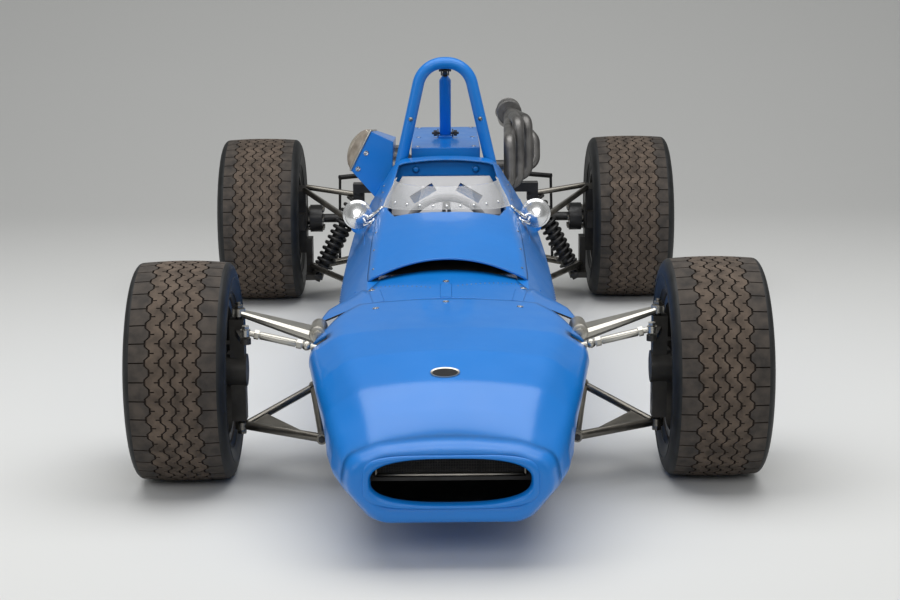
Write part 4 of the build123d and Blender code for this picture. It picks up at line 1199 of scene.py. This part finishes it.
def make_tyre(end):
    low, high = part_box(f"{end}_tyre_left")
    radius = (high.z - low.z) / 2
    widest = (high.x - low.x) / 2
    repeats, half, grooves, bead = TREADS[end]
    tyre = make_tread(repeats, half, grooves, radius)
    profile = wall_profile(half, widest, radius, bead)
    for side in (1, -1):
        draw_wall(tyre, side, half, profile)
    start_edit(tyre, "EDGE")
    pick(tyre, "edges", lambda e: e.is_boundary)
    bpy.ops.mesh.bridge_edge_loops()
    bpy.ops.mesh.select_all(action="SELECT")
    bpy.ops.mesh.normals_make_consistent(inside=False)
    end_edit()
    for material in (tread_dust, tread_edge, groove_rubber, wall_rubber):
        tyre.data.materials.append(material)
    for face in tyre.data.polygons:
        x, y, z = face.center
        surface = radius - CROWN_DROP * (x / half) ** 2
        if abs(x) > half:
            face.material_index = 3
        elif math.hypot(y, z) < surface - GROOVE_DEPTH / 4:
            face.material_index = 2
        elif x < grooves[0] or x > grooves[-1]:
            face.material_index = 1
    bpy.ops.object.shade_smooth_by_angle(angle=math.radians(32))
    return tyre


for end in ("front", "rear"):
    master = make_tyre(end)
    for side in ("left", "right"):
        name = f"{end}_tyre_{side}"
        low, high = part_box(name)
        tyre = copy_of(master, f"treaded_{name}")
        tyre.data.transform(Matrix.Translation((low + high) / 2))
        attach(tyre, f"wheel_{end}_{side}")
        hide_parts(name)
    bpy.data.objects.remove(master)


# Air box: a folded box over the intakes, closed on its outer side by a bulged cover of woven
# wire over filter felt, in a nickel frame, and held by two quarter-turn fasteners in front.
AIR_FRONT_Y, AIR_BACK_Y = 0.560, 1.020
MOUTH_TOP = ((-0.247, 0.684), (-0.244, 0.636))     # x, z at the front and at the back
MOUTH_LOW = ((-0.313, 0.556), (-0.300, 0.527))
BULGE = 0.045
BULGE_OUT = Vector((-0.889, 0, 0.458))
GAUZE_WIRE = 0.0016
FELT_INSIDE = 0.003              # inside the gauze, and as thick
AIR_FRAME_RADIUS = 0.0042
AIR_BOX_FASTENERS = [
    # place, turn
    ((-0.262, 0.5595, 0.612), 0.5), ((-0.290, 0.5595, 0.560), 0.9),
]
gauze_wire = metal("gauze_wire", (0.50, 0.46, 0.38), (0.66, 0.62, 0.54), 0.30, 0.45, 30)
filter_felt = matt(
    "filter_felt", (0.16, 0.13, 0.10), (0.34, 0.30, 0.25), 26, 0.7, relief=(800, 0.0006, 0.8)
)


def mouth_edge(line, share):
    (x0, z0), (x1, z1) = line
    y = AIR_FRONT_Y + (AIR_BACK_Y - AIR_FRONT_Y) * share
    return Vector((x0 + (x1 - x0) * share, y, z0 + (z1 - z0) * share))


def bulged_cover(columns, rows, inside):
    """A grid over the box's open side, bulged outwards like a stretched cover."""
    cover = grid(columns, rows, 2.0)
    for vertex in cover.data.vertices:
        u, v = vertex.co.x, vertex.co.y
        top, low = mouth_edge(MOUTH_TOP, (u + 1) / 2), mouth_edge(MOUTH_LOW, (u + 1) / 2)
        rise = (1 - u**6) * math.sqrt(max(0.0, 1 - v**2)) * (BULGE - inside)
        vertex.co = (top + low) / 2 + (top - low) / 2 * v + BULGE_OUT * rise
    return cover


gauze = bulged_cover(72, 26, 0.0)
gauze.name = "air_box_gauze"
weave(gauze, GAUZE_WIRE)
finish_piece(gauze, gauze_wire, "chassis")
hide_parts("air_gauze")
felt = bulged_cover(24, 14, FELT_INSIDE)
felt.name = "air_box_filter"
thicken(felt, FELT_INSIDE)
bpy.ops.object.shade_smooth()
finish_piece(felt, filter_felt, "chassis")
corners = [mouth_edge(MOUTH_TOP, share) for share in (0, 1)]
corners += [mouth_edge(MOUTH_LOW, share) for share in (1, 0)]
air_box_frame = rails(corners, AIR_FRAME_RADIUS, 12, "air_box_frame")
finish_piece(air_box_frame, nickel, "chassis")
placings = [stand(place, FORWARD, turn) for place, turn in AIR_BOX_FASTENERS]
air_box_fasteners = repeat(quarter_turn(), placings, "air_box_fasteners")
finish_piece(air_box_fasteners, chrome, "chassis")


# Engine and gearbox: alloy castings with bolted covers and cooling ribs, and a branched
# exhaust of mild steel tube, grey-brown from heat, that ends in an open tailpipe, its mouth filled
# by a black disc of soot and painted shade.
EXHAUST_X, EXHAUST_Z = 0.228, 0.692
EXHAUST_RINGS = [(1.046, 0.0405), (1.142, 0.0405), (1.205, 0.0305)]    # y, radius
TAIL_X, TAIL_Z = 0.232, 0.620
TAIL_PROFILE = [
    # radius, height
    (0.0300, -0.010), (0.0325, -0.008), (0.0325, 0.000), (0.0315, 0.0015), (0.0285, 0.0015),
    (0.0275, 0.0003),
]
# a black disc across the tailpipe's mouth: soot, and painted shade of the pipe's inside
TAIL_SHADE_DISC = (0.0278, 0.0010, 36, 0.0002)
CASTING_BOLT = (0.0065, 0.005, 6, 0.0006)
GEARBOX_BACK = 1.512
COVER_MIDDLE = 0.280
COVER_HALF_WIDTH, COVER_HALF_HEIGHT = 0.088, 0.112     # of its ring of bolts
BLOCK_BOLTS = [(y, z) for y in (0.58, 0.68, 0.78, 0.90, 1.00) for z in (0.30, 0.17)]
RIB_START, RIB_PITCH, RIB_COUNT = 1.235, 0.038, 7
RIB_X, RIB_Z = 0.092, 0.268
RIB_SIZE = (0.012, 0.006, 0.200)
RIB_GAPS = [(1.38, 0.016), (1.23, 0.07)]     # y, and how near to it no rib is cast

exhaust_black = coarse_metal(
    "exhaust_black", (0.100, 0.098, 0.096), (0.230, 0.222, 0.212), 14,
    gloss=(0.30, 0.46, 40), relief=(400, 0.0002, 0.4), metallic=0.75,
)
dress(nodes["exhaust"], exhaust_black)
rings = []
for y, radius in EXHAUST_RINGS:
    outer = radius + 0.003
    ring = turned([(radius, -0.005), (outer, -0.004), (outer, 0.004), (radius, 0.005)])
    rings.append(settle(ring, (EXHAUST_X, y, EXHAUST_Z), BACKWARD))
tail = (TAIL_X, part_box("exhaust")[1].y, TAIL_Z)
rings.append(settle(turned(TAIL_PROFILE), tail, BACKWARD))
finish_piece(join(rings, "exhaust_rings"), exhaust_black, "chassis")
# Soot, and painted shade in the mouth of the pipe.
soot_and_shade = matt("soot_and_shade", (0.003, 0.003, 0.003), (0.010, 0.009, 0.008), 80, 0.95)
tail_shade_disc = settle(drum(*TAIL_SHADE_DISC), tail, BACKWARD)
tail_shade_disc.name = "tailpipe_soot_and_shade"
finish_piece(tail_shade_disc, soot_and_shade, "chassis")

placings = []
for angle in range(0, 360, 30):
    turn = math.radians(angle)
    x, z = COVER_HALF_WIDTH * math.cos(turn), COVER_MIDDLE + COVER_HALF_HEIGHT * math.sin(turn)
    placings.append(stand((x, GEARBOX_BACK, z), BACKWARD))
for side in (1, -1):
    placings += [stand(*find_side("engine_block", side, y, z)) for y, z in BLOCK_BOLTS]
casting_bolts = repeat(drum(*CASTING_BOLT), placings, "casting_bolts")
finish_piece(casting_bolts, darker_nickel, "chassis")
ribs = []
for side in (1, -1):
    for y in (RIB_START + RIB_PITCH * index for index in range(RIB_COUNT)):
        if any(abs(y - gap_y) < near for gap_y, near in RIB_GAPS):
            continue
        rib = start_from(
            bpy.ops.mesh.primitive_cube_add,
            size=1.0, location=(side * RIB_X, y, RIB_Z), scale=RIB_SIZE,
        )
        start_edit(rib, "EDGE")
        pick(rib, "edges", lambda e: all(abs(v.co.x) > RIB_X + 0.003 for v in e.verts))
        bpy.ops.mesh.bevel(offset=0.002, segments=2, affect="EDGES")
        end_edit()
        ribs.append(rib)
finish_piece(join(ribs, "gearbox_ribs"), cast_alloy, "chassis")


# Rear suspension: black coil springs round slim dampers, between the uprights and the bridge
# over the gearbox, and rubber couplings bolted into the halfshafts.
COIL_RADIUS = 0.0285
COIL_WIRE = 0.0068
COIL_TURNS = 11
COIL_STEPS = 26
SPRING_LOW = (0.468, 1.150, 0.088)
SPRING_HIGH = (0.312, 1.150, 0.396)
SPRING_FOOT = 0.052      # lower seat above the eye
SPRING_HEAD = 0.036
DAMPER_EYE = (0.016, 0.026, 24, 0.002, -0.013)
COUPLING_Y, COUPLING_Z = 1.230, 0.292
COUPLING_CIRCLE = 0.038
COUPLING_FACES = [(0.4515, -1), (0.4965, 1)]     # x, which way its bolts point
COUPLING_BOLT = (0.0085, 0.007, 6, 0.0008)


def coil(length):
    """A wound spring standing on Z."""
    spring = start_from(
        bpy.ops.mesh.primitive_circle_add, vertices=10, radius=COIL_WIRE,
        location=(COIL_RADIUS, 0, 0), rotation=(math.pi / 2, 0, 0),
    )
    turns = spring.modifiers.new("turns", "SCREW")
    turns.axis = "Z"
    turns.steps = COIL_STEPS
    turns.render_steps = COIL_STEPS
    turns.iterations = COIL_TURNS
    turns.screw_offset = (length - 2 * COIL_WIRE) / COIL_TURNS
    bpy.ops.object.modifier_apply(modifier="turns")
    spring.data.transform(Matrix.Translation((0, 0, COIL_WIRE)))
    close_up(spring, 50)
    return spring


for side, sign in SIDES:
    low = Vector((sign * SPRING_LOW[0], *SPRING_LOW[1:]))
    high = Vector((sign * SPRING_HIGH[0], *SPRING_HIGH[1:]))
    reach = (high - low).length
    span = reach - SPRING_FOOT - SPRING_HEAD
    spring = coil(span)
    spring.data.transform(Matrix.Translation((0, 0, SPRING_FOOT)))
    parts = [
        spring,
        drum(0.010, reach - 0.020, 20, 0.001, low=0.010),
        drum(0.021, span * 0.62, 28, 0.002, low=SPRING_FOOT - 0.012),
        drum(0.035, 0.006, 36, 0.0015, low=SPRING_FOOT - 0.006),
        drum(0.034, 0.008, 36, 0.0015, low=reach - SPRING_HEAD),
    ]
    for place in (0.0, reach):
        eye = drum(*DAMPER_EYE)
        crosswise = Matrix.Rotation(math.pi / 2, 4, "X")
        eye.data.transform(Matrix.Translation((0, 0, place)) @ crosswise)
        parts.append(eye)
    unit = settle(join(parts, f"spring_unit_{side}"), low, high - low)
    finish_piece(unit, black_steel, "chassis")
    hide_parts(f"rear_coil_over_{side}")

    placings = []
    for angle in range(0, 360, 60):
        turn = math.radians(angle)
        y = COUPLING_Y + COUPLING_CIRCLE * math.cos(turn)
        z = COUPLING_Z + COUPLING_CIRCLE * math.sin(turn)
        for x, out in COUPLING_FACES:
            placings.append(stand((sign * x, y, z), (sign * out, 0, 0)))
    bolts = repeat(drum(*COUPLING_BOLT), placings, f"coupling_bolts_{side}")
    finish_piece(bolts, darker_nickel, f"wheel_rear_{side}")
